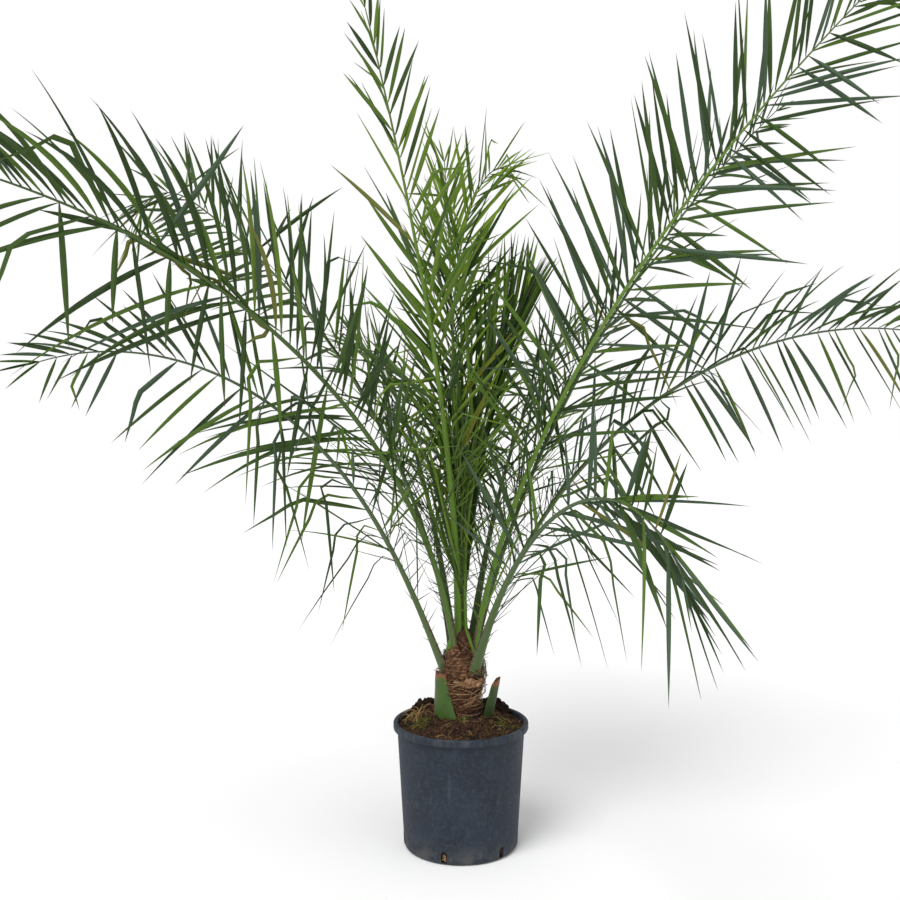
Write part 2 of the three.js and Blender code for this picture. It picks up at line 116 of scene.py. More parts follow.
FRONDS = {
    "frond_left_high": frond(
        "middle", 238, 210, 88, 2300, 85, 0.8, 10, 95, 430, 46, 30, outer=True, finer=2.1,
        broad=1.15, longer=1.1, sag=0.24, lower=1, hang=20, bare=1, gone=0.7, drops=9,
        clinging=18, wisps=12, arch=0.16, start=2),
    "frond_right_high": frond(
        "middle", 342, 338, 88, 2250, 46, 0.6, -5, -95, 400, 52, 32, broad=1.05,
        lean=((-1, 0.25, 1, 0.35, -0.8, 0.75),), rib="fresh", tone="cool", sag=0.05),
    "frond_right_low": frond(
        "outer", 12, 3, 79, 2150, 92, 1, 15, -80, 330, 46, 26, outer=True, kinks=0.25, sag=0.2, tip=0.2,
        lower=-1, hang=35, bare=-1, gone=0.35, lean=((-1, 0, 1, 1, -0.9, 0.85),), wisps=14,
        tone="cool", rib="grey"),
    "frond_left_low": frond(
        "outer", 200, 208, 68, 1650, 86, 2, -8, 80, 380, 46, 24, outer=True, finer=1.35, kinks=0.1,
        limp=0.8, limp_to=0.5, lower=1, hang=42, bare=1, gone=0.35, tip=-0.35, sag=0.12,
        lean=((1, 0.75, 1, 1, -1.1, 0.8), (1, 0.5, 0.75, 1, -0.4, 1)), wisps=6, tone="cool", rib="grey"),
    "frond_front_right": frond(
        "outer", 308, 307, 67, 1350, 113, 1.65, -20, -100, 350, 48, 17, outer=True, finer=2.0,
        broad=1.25, tip=0.55, sag=0.06, limp=0.55, bare=1, gone=0.2, stray=0, kinks=0.02,
        lean=((1, 0.25, 0.62, 1, 2.4, 0.58), (1, 0.62, 0.99, 0.6, 1.9, 0.5), (1, 0.62, 1, 1, -0.5, 0.8),
              (-1, 0.6, 1, 1, 0, 0.93)),
        wisps=4, start=3, tone="blue", rib="grey"),
    "frond_tallest": frond(
        "inner", 210, 229, 97, 1870, 29, 0.5, 4, 10, 380, 38, 26, stout=24, wide=30, finer=1.35,
        broad=1.1, bare=1, gone=0.3, stray=0.01, tip=-0.45,
        tone="bright", rib="fresh"),
    "frond_left_back": frond(
        "middle", 150, 147, 90, 2300, 66, 0.65, -2, 130, 300, 46, 26, finer=2.2,
        longer=1.2, tip=0.3, kinks=0, nod=80, tone="deep"),
    "frond_right_back": frond(
        "middle", 36, 37, 78, 2300, 38, 0.65, -9, -80, 300, 46, 26, finer=1.7, tone="deep"),
    "frond_young_front": frond(
        "inner", 44, 21, 94, 1700, 103, 5, 44, 60, 340, 34, 20, stout=20, wide=15,
        broad=0.85, kinks=0.14, wisps=8, tone="bright", rib="fresh"),
    "frond_young_back": frond(
        "inner", 122, 98, 88, 1590, 21, 1.1, 0, 10, 330, 30, 20, stout=20, wide=15,
        broad=0.85, wisps=8, tone="bright", rib="fresh"),
    "frond_spear": frond(
        "inner", 318, 13, 94, 1235, 36, 1.25, -12, 0, 260, 13, 12, swell=28, tone="spear",
        rib="fresh"),
    "frond_back_right": frond(
        "outer", 62, 64, 76, 1850, 74, 1.1, 6, -60, 320, 46, 20, outer=True, kinks=0.09, rib="grey"),
    "frond_back_left": frond(
        "outer", 114, 114, 76, 1800, 80, 1.2, -6, 60, 320, 46, 20, outer=True, kinks=0.09, rib="grey"),
    "frond_back": frond(
        "middle", 92, 88, 83, 1950, 58, 0.9, 4, 40, 320, 46, 20),
}


# ---- mesh helpers ----

def linked(name, data):
    """A new object in the scene for a mesh, a curve, a lamp or a camera."""
    obj = bpy.data.objects.new(name, data)
    bpy.context.scene.collection.objects.link(obj)
    return obj


def recalculate(obj):
    """Turns a mesh's faces outwards."""
    mesh = bmesh.new()
    mesh.from_mesh(obj.data)
    bmesh.ops.recalc_face_normals(mesh, faces=mesh.faces)
    mesh.to_mesh(obj.data)
    mesh.free()


def mesh_object(name, points, faces, materials, smooth=True, face_materials=None):
    """A new object from points in metres and faces, with its materials."""
    mesh = bpy.data.meshes.new(name)
    mesh.from_pydata([tuple(p) for p in points], [], faces)
    for material in materials:
        mesh.materials.append(material)
    if face_materials is not None:
        mesh.polygons.foreach_set("material_index", face_materials)
    mesh.polygons.foreach_set("use_smooth", [smooth] * len(mesh.polygons))
    mesh.update()
    return linked(name, mesh)


def finished(obj, slot, *nodes):
    """A finished piece of the palm: what it rides on, its slot, which is not used, and the CAD nodes that it
    stands for.
    """
    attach(obj, "root")
    if nodes:
        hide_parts(*nodes)
    return obj


def set_uv(mesh, across, along, name="Blade"):
    """A UV map from one (across, along) pair for each corner of the mesh."""
    layer = mesh.uv_layers.new(name=name)
    flat = np.empty(len(mesh.loops) * 2, np.float32)
    flat[0::2] = across
    flat[1::2] = along
    layer.data.foreach_set("uv", flat)


def loft(rings, closed=True):
    """Faces between rings of points that run the same way, with the two ends closed by a fan-free cap."""
    count = len(rings[0])
    points = [p for ring in rings for p in ring]
    faces = []
    for i in range(len(rings) - 1):
        for j in range(count if closed else count - 1):
            k = (j + 1) % count
            faces.append((i * count + j, i * count + k, (i + 1) * count + k, (i + 1) * count + j))
    if closed:
        faces.append(tuple(reversed(range(count))))
        last = (len(rings) - 1) * count
        faces.append(tuple(range(last, last + count)))
    return points, faces


def lathe(name, profile, segments, materials, face_material=None):
    """A turned shape from (radius, height) pairs in metres that run up its outside."""
    points, faces, rows, marks = [], [], [], []
    for radius, height in profile:
        if radius < 1e-6:
            rows.append([len(points)] * segments)
            points.append((0, 0, height))
            continue
        rows.append(list(range(len(points), len(points) + segments)))
        for j in range(segments):
            a = 2 * math.pi * j / segments
            points.append((radius * math.cos(a), radius * math.sin(a), height))
    for i, (low, high) in enumerate(zip(rows, rows[1:])):
        for j in range(segments):
            k = (j + 1) % segments
            face = [low[j], low[k], high[k], high[j]]
            face = tuple(dict.fromkeys(face))
            if len(face) > 2:
                faces.append(face)
                marks.append(face_material(i) if face_material else 0)
    return mesh_object(name, points, faces, materials, True, marks)


def sharpen(obj, angle):
    """Marks the edges that turn by more than angle degrees as sharp, so that they shade crisply."""
    mesh = bmesh.new()
    mesh.from_mesh(obj.data)
    for edge in mesh.edges:
        if len(edge.link_faces) == 2 and edge.calc_face_angle() > math.radians(angle):
            edge.smooth = False
    mesh.to_mesh(obj.data)
    mesh.free()


def fractal(point, scale, octaves=4):
    """Smooth noise from about -1 to 1 at a point, with features of about 1 / scale metres."""
    return noise.fractal(Vector(point) * scale, 1.0, 2.0, octaves)


# ---- node helpers ----

def add_node(tree, kind, links, out=0, **settings):
    """Adds a node, fills its sockets from sockets or values, and returns one of its outputs."""
    node = tree.nodes.new(kind)
    for key, value in settings.items():
        setattr(node, key, value)
    for key, value in links.items():
        if isinstance(value, bpy.types.NodeSocket):
            tree.links.new(value, node.inputs[key])
        else:
            node.inputs[key].default_value = value
    return node.outputs[out]


class Tree:
    """A Geometry Nodes tree under way. Its inputs are (label, socket type, starting value)."""

    def __init__(self, name, inputs):
        self.group = bpy.data.node_groups.new(name, "GeometryNodeTree")
        face = self.group.interface
        face.new_socket("Geometry", in_out="INPUT", socket_type="NodeSocketGeometry")
        for label, kind, value in inputs:
            socket = face.new_socket(label, in_out="INPUT", socket_type=kind)
            if value is not None:
                socket.default_value = value
        face.new_socket("Geometry", in_out="OUTPUT", socket_type="NodeSocketGeometry")
        self.start = self.group.nodes.new("NodeGroupInput")
        self.end = self.group.nodes.new("NodeGroupOutput")

    def add(self, kind, links, out=0, **settings):
        return add_node(self.group, kind, links, out, **settings)

    def given(self, label):
        return self.start.outputs[label]

    def attribute(self, name, kind="FLOAT"):
        return self.add("GeometryNodeInputNamedAttribute", {"Name": name}, data_type=kind)

    def math(self, operation, a, b):
        return self.add("ShaderNodeMath", {0: a, 1: b}, operation=operation)

    def ends_in(self, geometry):
        self.group.links.new(geometry, self.end.inputs[0])
        return self.group


def grow(name, base, group, values, slot=None):
    """Runs a Geometry Nodes tree on a base object and keeps the result as a plain mesh piece."""
    modifier = base.modifiers.new("Grow", "NODES")
    modifier.node_group = group
    for item in group.interface.items_tree:
        if item.item_type == "SOCKET" and item.in_out == "INPUT" and item.name in values:
            modifier[item.identifier] = values[item.name]
    graph = bpy.context.evaluated_depsgraph_get()
    mesh = bpy.data.meshes.new_from_object(base.evaluated_get(graph))
    base.modifiers.remove(modifier)
    mesh.name = name
    piece = linked(name, mesh)
    if slot:
        finished(piece, slot)
    return piece


def away(*objects):
    """Removes the helpers that a piece was grown from."""
    for obj in objects:
        bpy.data.objects.remove(obj)


# ---- materials ----

def shade(red, green, blue):
    """A colour given as 0 to 255 on screen, as the shader's linear colour."""
    linear = [((c / 255 + 0.055) / 1.055) ** 2.4 if c > 10 else c / 255 / 12.92 for c in (red, green, blue)]
    return (*linear, 1.0)


class Finish:
    """A material under way: a Principled shader and the nodes that feed it."""

    def __init__(self, name, colour, roughness, **shader):
        self.material = bpy.data.materials.new(name)
        self.material.use_nodes = True
        self.tree = self.material.node_tree
        self.shader = self.tree.nodes["Principled BSDF"]
        self.colour = colour
        self.shader.inputs["Base Color"].default_value = colour
        self.shader.inputs["Roughness"].default_value = roughness
        for key, value in shader.items():
            self.shader.inputs[key.replace("_", " ")].default_value = value
        self.height = None

    def add(self, kind, links, out=0, **settings):
        return add_node(self.tree, kind, links, out, **settings)

    def feed(self, value, socket):
        self.tree.links.new(value, self.shader.inputs[socket])

    def product(self, a, b):
        return self.add("ShaderNodeMath", {0: a, 1: b}, operation="MULTIPLY")

    def part(self, vector, axis):
        """One of the three numbers of a vector."""
        return self.add("ShaderNodeSeparateXYZ", {"Vector": vector}, out=axis)

    def place(self, scale=(1, 1, 1), uv=None):
        """Where a pattern is read: the piece's own metres, or its UV map, scaled each way."""
        if uv:
            start = self.add("ShaderNodeUVMap", {}, uv_map=uv)
        else:
            start = self.add("ShaderNodeTexCoord", {}, out=3)
        return self.add("ShaderNodeMapping", {"Vector": start, "Scale": scale})

    def noise(self, scale, detail=4.0, rough=0.55, stretch=(1, 1, 1), uv=None):
        where = self.place(stretch, uv)
        return self.add("ShaderNodeTexNoise", {
            "Vector": where, "Scale": scale, "Detail": detail, "Roughness": rough})

    def band(self, value, low, high, start=0.0, end=1.0):
        """Maps value from low..high to start..end, clamped and smooth."""
        return self.add("ShaderNodeMapRange", {
            "Value": value, "From Min": low, "From Max": high, "To Min": start, "To Max": end},
            interpolation_type="SMOOTHSTEP")

    def paint(self, share, colour):
        """Lays a colour over what is there, as far as share says."""
        mix = {0: share, 6: self.colour, 7: colour}
        self.colour = self.add("ShaderNodeMix", mix, out=2, data_type="RGBA")
        self.feed(self.colour, "Base Color")

    def patch(self, colour, noise, low, high, start=0.0, end=1.0):
        """Lays a colour over in patches: noise is its (scale, detail, roughness, stretch)."""
        self.paint(self.band(self.noise(*noise), low, high, start, end), colour)

    def bump(self, value, distance, strength=1.0):
        """Raises the surface by value times distance in metres."""
        links = {"Height": value, "Distance": distance, "Strength": strength}
        if self.height:
            links["Normal"] = self.height
        self.height = self.add("ShaderNodeBump", links)
        self.feed(self.height, "Normal")


def blend(colour, other, share):
    return tuple(a + (b - a) * share for a, b in zip(colour, other))


def times(colour, factor):
    return tuple(min(1.0, c * factor) for c in colour[:3]) + (1.0,)


def blade_finish(name, colour, roughness=0.5, veins=0.16):
    """A leaflet's plain colour with fine veins along it."""
    made = Finish(name, colour, roughness, Specular_IOR_Level=0.14)
    vein = made.noise(1.0, 3.0, 0.6, (60, 1.5, 1), uv="Blade")
    made.paint(made.band(vein, 0.42, 0.7), times(colour, 1 - veins))
    made.paint(made.band(vein, 0.45, 0.25, 0.0, 0.8), times(colour, 1 + veins))
    made.bump(vein, 0.0002, 0.5)
    return made.material


def plastic_finish():
    """Slate blue-grey moulded plastic, dusty at its foot and scuffed."""
    made = Finish("slate_plastic", shade(31, 38, 49), 0.62, Specular_IOR_Level=0.25)
    cloud = made.noise(9.0, 7.0, 0.6)
    made.paint(made.band(cloud, 0.36, 0.68, 0.0, 0.7), shade(48, 56, 68))
    made.patch(shade(58, 66, 77), (75.0, 6.0, 0.75), 0.45, 0.7, 0.0, 0.6)
    made.patch(shade(20, 26, 36), (130.0, 4.0, 0.7), 0.44, 0.32, 0.0, 0.5)
    streak = made.noise(5.0, 6.0, 0.65, (9, 9, 1.3))
    made.paint(made.band(streak, 0.56, 0.75, 0.0, 0.35), shade(70, 77, 88))
    height = made.part(made.place(), 2)
    dusty = made.band(height, 0.085, 0.0)
    patchy = made.band(made.noise(22.0, 6.0, 0.7), 0.38, 0.66)
    made.paint(made.product(made.product(dusty, patchy), 0.75), shade(84, 84, 82))
    worn = made.band(height, 0.352, 0.372)
    made.paint(made.product(worn, made.band(streak, 0.45, 0.62, 0.0, 0.6)), shade(74, 78, 82))
    speck = made.add("ShaderNodeTexVoronoi", {"Vector": made.place(), "Scale": 90.0})
    made.paint(made.band(speck, 0.11, 0.05, 0.0, 0.4), shade(92, 94, 92))
    made.feed(made.band(cloud, 0.3, 0.7, 0.52, 0.72), "Roughness")
    made.bump(made.noise(700.0, 2.0), 0.00025, 0.5)
    made.bump(streak, 0.0006, 0.4)
    return made.material


def peat_finish(name, base, light, dark):
    """Loose peat: crumbs in three browns."""
    made = Finish(name, base, 0.95, Specular_IOR_Level=0.2)
    made.patch(light, (55.0, 6.0, 0.7), 0.5, 0.68)
    made.patch(dark, (120.0, 6.0, 0.7), 0.52, 0.42)
    made.bump(made.noise(260.0, 8.0, 0.75), 0.006, 0.9)
    return made.material


def fibre_finish(name, base, dark):
    """A dry strand, streaked along its own length."""
    made = Finish(name, base, 0.8, Specular_IOR_Level=0.25)
    made.patch(dark, (160.0, 4.0, 0.6), 0.4, 0.65)
    return made.material


def bark_finish():
    """The stem's sheath remains under their net of fibres."""
    made = Finish("stem_sheath", shade(92, 62, 46), 0.9, Specular_IOR_Level=0.2)
    streak = made.noise(150.0, 7.0, 0.7, (1, 1, 0.25))
    made.paint(made.band(streak, 0.45, 0.6), shade(56, 36, 28))
    made.patch(shade(134, 100, 74), (14.0, 5.0, 0.6), 0.55, 0.68, 0.0, 0.8)
    made.patch(shade(34, 22, 20), (75.0, 6.0, 0.7), 0.42, 0.34, 0.0, 0.9)
    made.bump(made.noise(120.0, 8.0, 0.75, stretch=(1, 1, 0.35)), 0.005, 1.0)
    return made.material


def rib_finish(name, low, high, tip):
    """A petiole and rib: one green low down that turns to another, with lengthwise streaks."""
    made = Finish(name, low, 0.48, Specular_IOR_Level=0.3)
    along = made.part(made.place(uv="Rib"), 1)
    made.paint(made.band(along, 0.15, 0.5), high)
    made.paint(made.band(along, 0.72, 1.0, 0.0, 0.8), tip)
    streak = made.noise(1.0, 5.0, 0.6, (14, 9, 1), uv="Rib")
    made.paint(made.band(streak, 0.52, 0.68, 0.0, 0.5), times(low, 0.62))
    made.paint(made.band(streak, 0.44, 0.3, 0.0, 0.35), times(high, 1.35))
    blotch = made.noise(40.0, 4.0, 0.7)
    made.paint(made.band(blotch, 0.66, 0.74, 0.0, 0.55), shade(122, 92, 58))
    made.bump(streak, 0.0006, 0.5)
    return made.material


def stub_finish(name, green, side):
    """A cut leaf base: green flesh with dark upright streaks of painted shade, duller at its edges, browned
    where it was cut.
    """
    made = Finish(name, green, 0.5, Specular_IOR_Level=0.4)
    # Painted shade: dark upright streaks at half the green's brightness
    made.patch(times(green, 0.5), (38.0, 5.0, 0.6, (1, 1, 0.35)), 0.46, 0.68, 0.0, 0.8)
    made.patch(shade(96, 74, 46), (24.0, 5.0, 0.6, (1, 1, 0.5)), 0.6, 0.72, 0.0, 0.8)
    across, along = made.part(made.place(uv="Stub"), 0), made.part(made.place(uv="Stub"), 1)
    ragged = made.add("ShaderNodeMath", {
        0: along, 1: made.band(made.noise(60.0, 5.0), 0.3, 0.7, -0.06, 0.06)}, operation="ADD")
    made.patch(times(green, 1.35), (15.0, 4.0, 0.6, (1, 1, 0.6)), 0.4, 0.62, 0.0, 0.7)
    made.paint(made.band(ragged, 0.84, 0.92), shade(128, 78, 44))
    made.paint(made.band(ragged, 0.93, 1.03), shade(78, 46, 32))
    made.paint(made.band(across, side[0], side[1], 0.0, 0.85), shade(118, 92, 70))
    made.paint(made.band(along, 0.08, 0.0, 0.0, 0.7), shade(150, 146, 84))
    made.bump(made.noise(180.0, 6.0, 0.7, (1, 1, 0.3)), 0.0012, 0.6)
    return made.material


PLASTIC = plastic_finish()
PEAT = peat_finish("peat", shade(66, 46, 32), shade(104, 78, 52), shade(30, 21, 16))
CLOD = peat_finish("peat_clod", shade(52, 36, 26), shade(88, 64, 44), shade(24, 17, 14))
BARK = bark_finish()
TAN = fibre_finish("tan_fibre", shade(172, 138, 100), shade(126, 94, 66))
BROWN = fibre_finish("brown_fibre", shade(118, 80, 56), shade(78, 50, 36))
RED_BROWN = fibre_finish("dark_fibre", shade(74, 45, 34), shade(44, 28, 24))
STRAW = fibre_finish("straw", shade(178, 150, 98), shade(138, 108, 62))
MOSS = fibre_finish("moss", shade(98, 100, 40), shade(62, 66, 28))

# Leaflet colours are plain and dealt out leaflet by leaflet, with a duller back for each
LEAF_SHADES = {
    "bright": shade(112, 140, 42),
    "fresh": shade(86, 116, 28),
    "mid": shade(60, 86, 24),
    "deep": shade(38, 60, 14),
    "blue": shade(66, 86, 66),
    "yellow": shade(118, 118, 44),
}
BLADES = {name: blade_finish(f"leaf_{name}", colour) for name, colour in LEAF_SHADES.items()}
BACKS = {
    name: blade_finish(f"leaf_{name}_back", blend(colour, shade(76, 94, 66), 0.3), 0.6)
    for name, colour in LEAF_SHADES.items()
}
DRY_TIP = blade_finish("leaf_dry_tip", shade(80, 74, 74), 0.7)
SPINE_GREEN = blade_finish("spine_green", shade(112, 128, 56), 0.5)
SPINE_GREY = blade_finish("spine_grey", shade(80, 92, 72), 0.55)

RIBS = {
    "fresh": rib_finish("rib_fresh", shade(90, 124, 36), shade(98, 128, 46), shade(80, 96, 56)),
    "mid": rib_finish("rib_mid", shade(76, 104, 38), shade(72, 96, 46), shade(56, 66, 50)),
    "grey": rib_finish("rib_grey", shade(76, 98, 54), shade(80, 98, 66), shade(70, 80, 68)),
}
MARGIN = fibre_finish("sheath_margin", shade(104, 92, 70), shade(70, 62, 58))

# How often each blade colour is dealt out, for each tone
TONES = {
    "full": dict(bright=0.3, fresh=3, mid=5, deep=5, blue=1.5, yellow=0.08),
    "cool": dict(bright=0.2, fresh=2, mid=3.5, deep=4, blue=4.5, yellow=0.2),
    "deep": dict(fresh=1.2, mid=4, deep=7, yellow=0.1),
    "bright": dict(bright=5, fresh=5, mid=2.5, deep=0.8, yellow=0.25),
    "spear": dict(bright=1.5, fresh=4, mid=4, deep=4),
    "blue": dict(fresh=1.5, blue=5, mid=3, deep=4, yellow=0.5),
}


# ---- ribs ----

class Rib:
    """A frond's rib, walked from its foot in the stem to its tip. Lengths are in millimetres."""

    def __init__(self, frond):
        self.frond = frond
        seat = math.radians(frond.at)
        lean = frond.ring.foot * math.tan(math.radians(STEM_LEAN))
        point = Vector((
            frond.ring.seat * math.cos(seat) + lean, frond.ring.seat * math.sin(seat),
            STEM_FOOT + frond.ring.foot))
        self.points = [point.copy()]
        for i in range(RIB_STEPS):
            along = self.axes((i + 0.5) / RIB_STEPS)[0]
            point += along * (frond.length / RIB_STEPS)
            self.points.append(point.copy())

    def axes(self, t):
        """The rib's direction at share t of its length, its upper side and its right-hand side."""
        frond = self.frond
        nod = frond.nod * max(0, (t - NOD_START) / (1 - NOD_START)) ** 1.5
        rise = math.radians(frond.lift - frond.fall * t**frond.ease - nod)
        turn = math.radians(frond.turn + frond.sweep * t)
        level = Vector((math.cos(turn), math.sin(turn), 0))
        along = level * math.cos(rise) + UP * math.sin(rise)
        up = UP * math.cos(rise) - level * math.sin(rise)
        up.rotate(Quaternion(along, math.radians(frond.twist) * t))
        return along, up, along.cross(up)

    def point(self, t):
        at = min(max(t, 0), 1) * RIB_STEPS
        i = min(int(at), RIB_STEPS - 1)
        return self.points[i].lerp(self.points[i + 1], at - i)

    def width(self, t):
        frond = self.frond
        sheath = (frond.stout - frond.wide) * math.exp(-t * frond.length / SHEATH_LENGTH)
        return TIP_WIDTH + (frond.wide - TIP_WIDTH) * (1 - t) + sheath


def rib_outline(t):
    """A rib's section as (across, up) shares of its width and depth.

    It is rounded below, hollow above near the foot and ridged above further up.
    """
    ridge = min(1, max(0, (t - 0.12) / 0.2))
    outline = []
    for k in range(RIB_CORNERS):
        a = 2 * math.pi * k / RIB_CORNERS
        across, up = math.cos(a) * 0.5, math.sin(a)
        if up >= 0:
            flat = 0.12 + 0.1 * abs(across) * 2
            peak = 0.62 * (1 - abs(across) * 2) ** 0.8
            up = flat * (1 - ridge) + peak * ridge if abs(across) < 0.49 else 0.05
        else:
            up *= 0.5
        outline.append((across, up))
    return outline


def stem_radius(height):
    """The stem's radius in millimetres at a height over its foot."""
    for (r0, h0), (r1, h1) in zip(STEM_PROFILE, STEM_PROFILE[1:]):
        if height <= h1:
            return r0 + (r1 - r0) * max(0, height - h0) / (h1 - h0)
    return 0.0


def clear_of_stem(point):
    """A place on a sheath, moved outward to where the stem's bark ends."""
    height = point.z - STEM_FOOT
    axis = Vector((height * math.tan(math.radians(STEM_LEAN)), 0, point.z))
    out = point - axis
    short = stem_radius(height) + 1 - out.length
    return point + out.normalized() * max(0, short)


def rib_piece(name, frond, rib):
    """A frond's petiole and rib in one smooth tapering body, with a broad sheath at its foot."""
    rings, along_rib = [], []
    for i in range(frond.start, RIB_RINGS + 1):
        t = max(0, i / RIB_RINGS) ** 1.15
        along, up, side = rib.axes(t)
        sheath = math.exp(-t * frond.length / 75)
        width = rib.width(t) * (1 - 0.4 * t) * (1 + frond.ring.clasp * sheath)
        depth = rib.width(t) * RIB_DEPTH * (1.15 - 0.4 * sheath)
        centre = clear_of_stem(rib.point(t))
        if i < 0:
            centre = centre - along * (11 * -i) + up * (4.5 * i * i * 0.55)
            width *= 1 - 0.1 * i * i * 0.9
        rings.append([
            (centre + side * (x * width) + up * (y * depth + abs(x) ** 2 * 26 * sheath)) * MM
            for x, y in rib_outline(t)])
        along_rib.append(t)
    points, faces = loft(rings)
    marks = []
    for face in faces[:-2]:
        row, column = divmod(face[0], RIB_CORNERS)
        dry = along_rib[row] * frond.length < frond.ring.margin
        marks.append(1 if column in RIB_EDGES and dry else 0)
    marks += [0, 0]
    obj = mesh_object(f"{name}_rib", points, faces, [RIBS[frond.rib], MARGIN], True, marks)
    across, along = [], []
    for face in faces:
        for v in face:
            row, column = divmod(v, RIB_CORNERS)
            across.append(column / RIB_CORNERS)
            along.append(along_rib[row])
    set_uv(obj.data, across, along, "Rib")
    return finished(obj, "young_frond" if frond.ring is RINGS["inner"] else "frond")


# ---- leaflets and spines ----

def blade_prototype():
    """A leaflet folded to a V along its midrib. X runs from its root to its tip, 0 to 1, and it is
    1 wide. Its faces are marked as upper side, back or tip."""
    stations = [
        (0.0, 0.4, 68), (0.05, 0.6, 56), (0.14, 0.86, 44), (0.25, 0.98, 37), (0.37, 1.0, 32),
        (0.49, 0.95, 28), (0.61, 0.84, 26), (0.73, 0.66, 26), (0.84, 0.42, 28), (0.93, 0.2, 36),
    ]
    points, shares, columns = [], [], []
    for share, wide, fold in stations:
        reach = wide / 2 * math.cos(math.radians(fold))
        rise = wide / 2 * math.sin(math.radians(fold))
        thick = 0.03 * wide + 0.012
        points += [(share, -reach, rise), (share, 0, thick), (share, reach, rise), (share, 0, -thick)]
        shares += [share] * 4
        columns += [0.0, 0.5, 1.0, 0.5]
    faces, parts = [], []
    rows = len(stations)
    for i in range(rows - 1):
        for k in range(4):
            n = (k + 1) % 4
            faces.append((i * 4 + k, (i + 1) * 4 + k, (i + 1) * 4 + n, i * 4 + n))
            parts.append(0 if k < 2 else 1)
    faces.append((0, 1, 2, 3))
    parts.append(1)
    tip = len(points)
    points.append((1.0, 0, 0.03))
    shares.append(1.0)
    columns.append(0.5)
    last = (rows - 1) * 4
    for k in range(4):
        faces.append((last + k, tip, last + (k + 1) % 4))
        parts.append(2)
    return prototype("leaflet_shape", points, faces, shares, columns, parts)


def spine_prototype():
    """A stiff spine: three-sided, 1 long and 1 wide at its foot."""
    points, shares, columns = [], [], []
    for share, wide in ((0.0, 1.0), (0.25, 0.85), (0.65, 0.5)):
        for k in range(3):
            a = 2 * math.pi * k / 3
            points.append((share, math.cos(a) * wide / 2, math.sin(a) * wide / 2))
            shares.append(share)
            columns.append(k / 3)
    faces, parts = [], []
    for i in range(2):
        for k in range(3):
            n = (k + 1) % 3
            faces.append((i * 3 + k, i * 3 + n, (i + 1) * 3 + n, (i + 1) * 3 + k))
            parts.append(0)
    faces.append((2, 1, 0))
    parts.append(0)
    points.append((1.0, 0, 0))
    shares.append(1.0)
    columns.append(0.5)
    for k in range(3):
        faces.append((6 + k, 6 + (k + 1) % 3, 9))
        parts.append(2)
    return prototype("spine_shape", points, faces, shares, columns, parts)


def prototype(name, points, faces, shares, columns, parts):
    """A shape that is repeated, with its share of length, its UV map and its parts as attributes."""
    obj = mesh_object(name, points, faces, [], True)
    recalculate(obj)
    mesh = obj.data
    mesh.attributes.new("share", "FLOAT", "POINT").data.foreach_set("value", shares)
    mesh.attributes.new("part", "INT", "FACE").data.foreach_set("value", parts)
    corners = np.empty(len(mesh.loops), np.int32)
    mesh.loops.foreach_get("vertex_index", corners)
    set_uv(mesh, np.array(columns)[corners], np.array(shares)[corners] * 8)
    sharp = mesh.attributes.new("sharp_edge", "BOOLEAN", "EDGE")
    sharp.data.foreach_set("value", [shares[a] != shares[b] for a, b in (e.vertices for e in mesh.edges)])
    return obj


def leaflet_tree(finishes):
    """Sets a shape on each point, turns and bends it as the point says, and deals out finishes:
    (part, tint, material), where tint None stands for every tint."""
    tree = Tree("grow_leaflets", [("Shape", "NodeSocketObject", None), ("Bow", "NodeSocketFloat", 1.0)])
    shape = tree.add("GeometryNodeObjectInfo", {"Object": tree.given("Shape")}, out="Geometry")
    placed = tree.add("GeometryNodeInstanceOnPoints", {
        "Points": tree.given("Geometry"), "Instance": shape,
        "Rotation": tree.attribute("turned", "QUATERNION"),
        "Scale": tree.attribute("size", "FLOAT_VECTOR")})
    real = tree.add("GeometryNodeRealizeInstances", {"Geometry": placed})
    share = tree.attribute("share")
    place = tree.add("GeometryNodeInputPosition", {})
    twisted = tree.add("ShaderNodeVectorRotate", {
        "Vector": place, "Center": tree.attribute("root", "FLOAT_VECTOR"),
        "Axis": tree.attribute("heading", "FLOAT_VECTOR"),
        "Angle": tree.math("MULTIPLY", tree.attribute("twist"), share)})
    past = tree.math("SUBTRACT", share, tree.attribute("kink_at"))
    folded = tree.add("ShaderNodeMapRange", {
        "Value": past, "From Min": -0.12, "From Max": 0.14, "To Min": 0.0, "To Max": 1.0})
    kinked = tree.add("ShaderNodeVectorRotate", {
        "Vector": twisted, "Center": tree.attribute("elbow", "FLOAT_VECTOR"),
        "Axis": tree.attribute("hinge", "FLOAT_VECTOR"),
        "Angle": tree.math("MULTIPLY", tree.attribute("kink"), folded)})
    bow = tree.math("MULTIPLY", tree.math("MULTIPLY", share, share), tree.given("Bow"))
    bend = tree.add("ShaderNodeVectorMath", {
        0: tree.attribute("bend", "FLOAT_VECTOR"), "Scale": bow}, operation="SCALE")
    moved = tree.add("ShaderNodeVectorMath", {0: kinked, 1: bend}, operation="ADD")
    bent = tree.add("GeometryNodeSetPosition", {"Geometry": real, "Position": moved})
    part_here = tree.attribute("part", "INT")
    tint_here = tree.attribute("tint", "INT")
    for part, tint, material in finishes:
        chosen = tree.add("FunctionNodeCompare", {2: part_here, 3: part}, data_type="INT", operation="EQUAL")
        if tint is not None:
            tinted = tree.add(
                "FunctionNodeCompare", {2: tint_here, 3: tint}, data_type="INT", operation="EQUAL")
            chosen = tree.add("FunctionNodeBooleanMath", {0: chosen, 1: tinted}, operation="AND")
        bent = tree.add("GeometryNodeSetMaterial", {
            "Geometry": bent, "Selection": chosen, "Material": material})
    return tree.ends_in(bent)


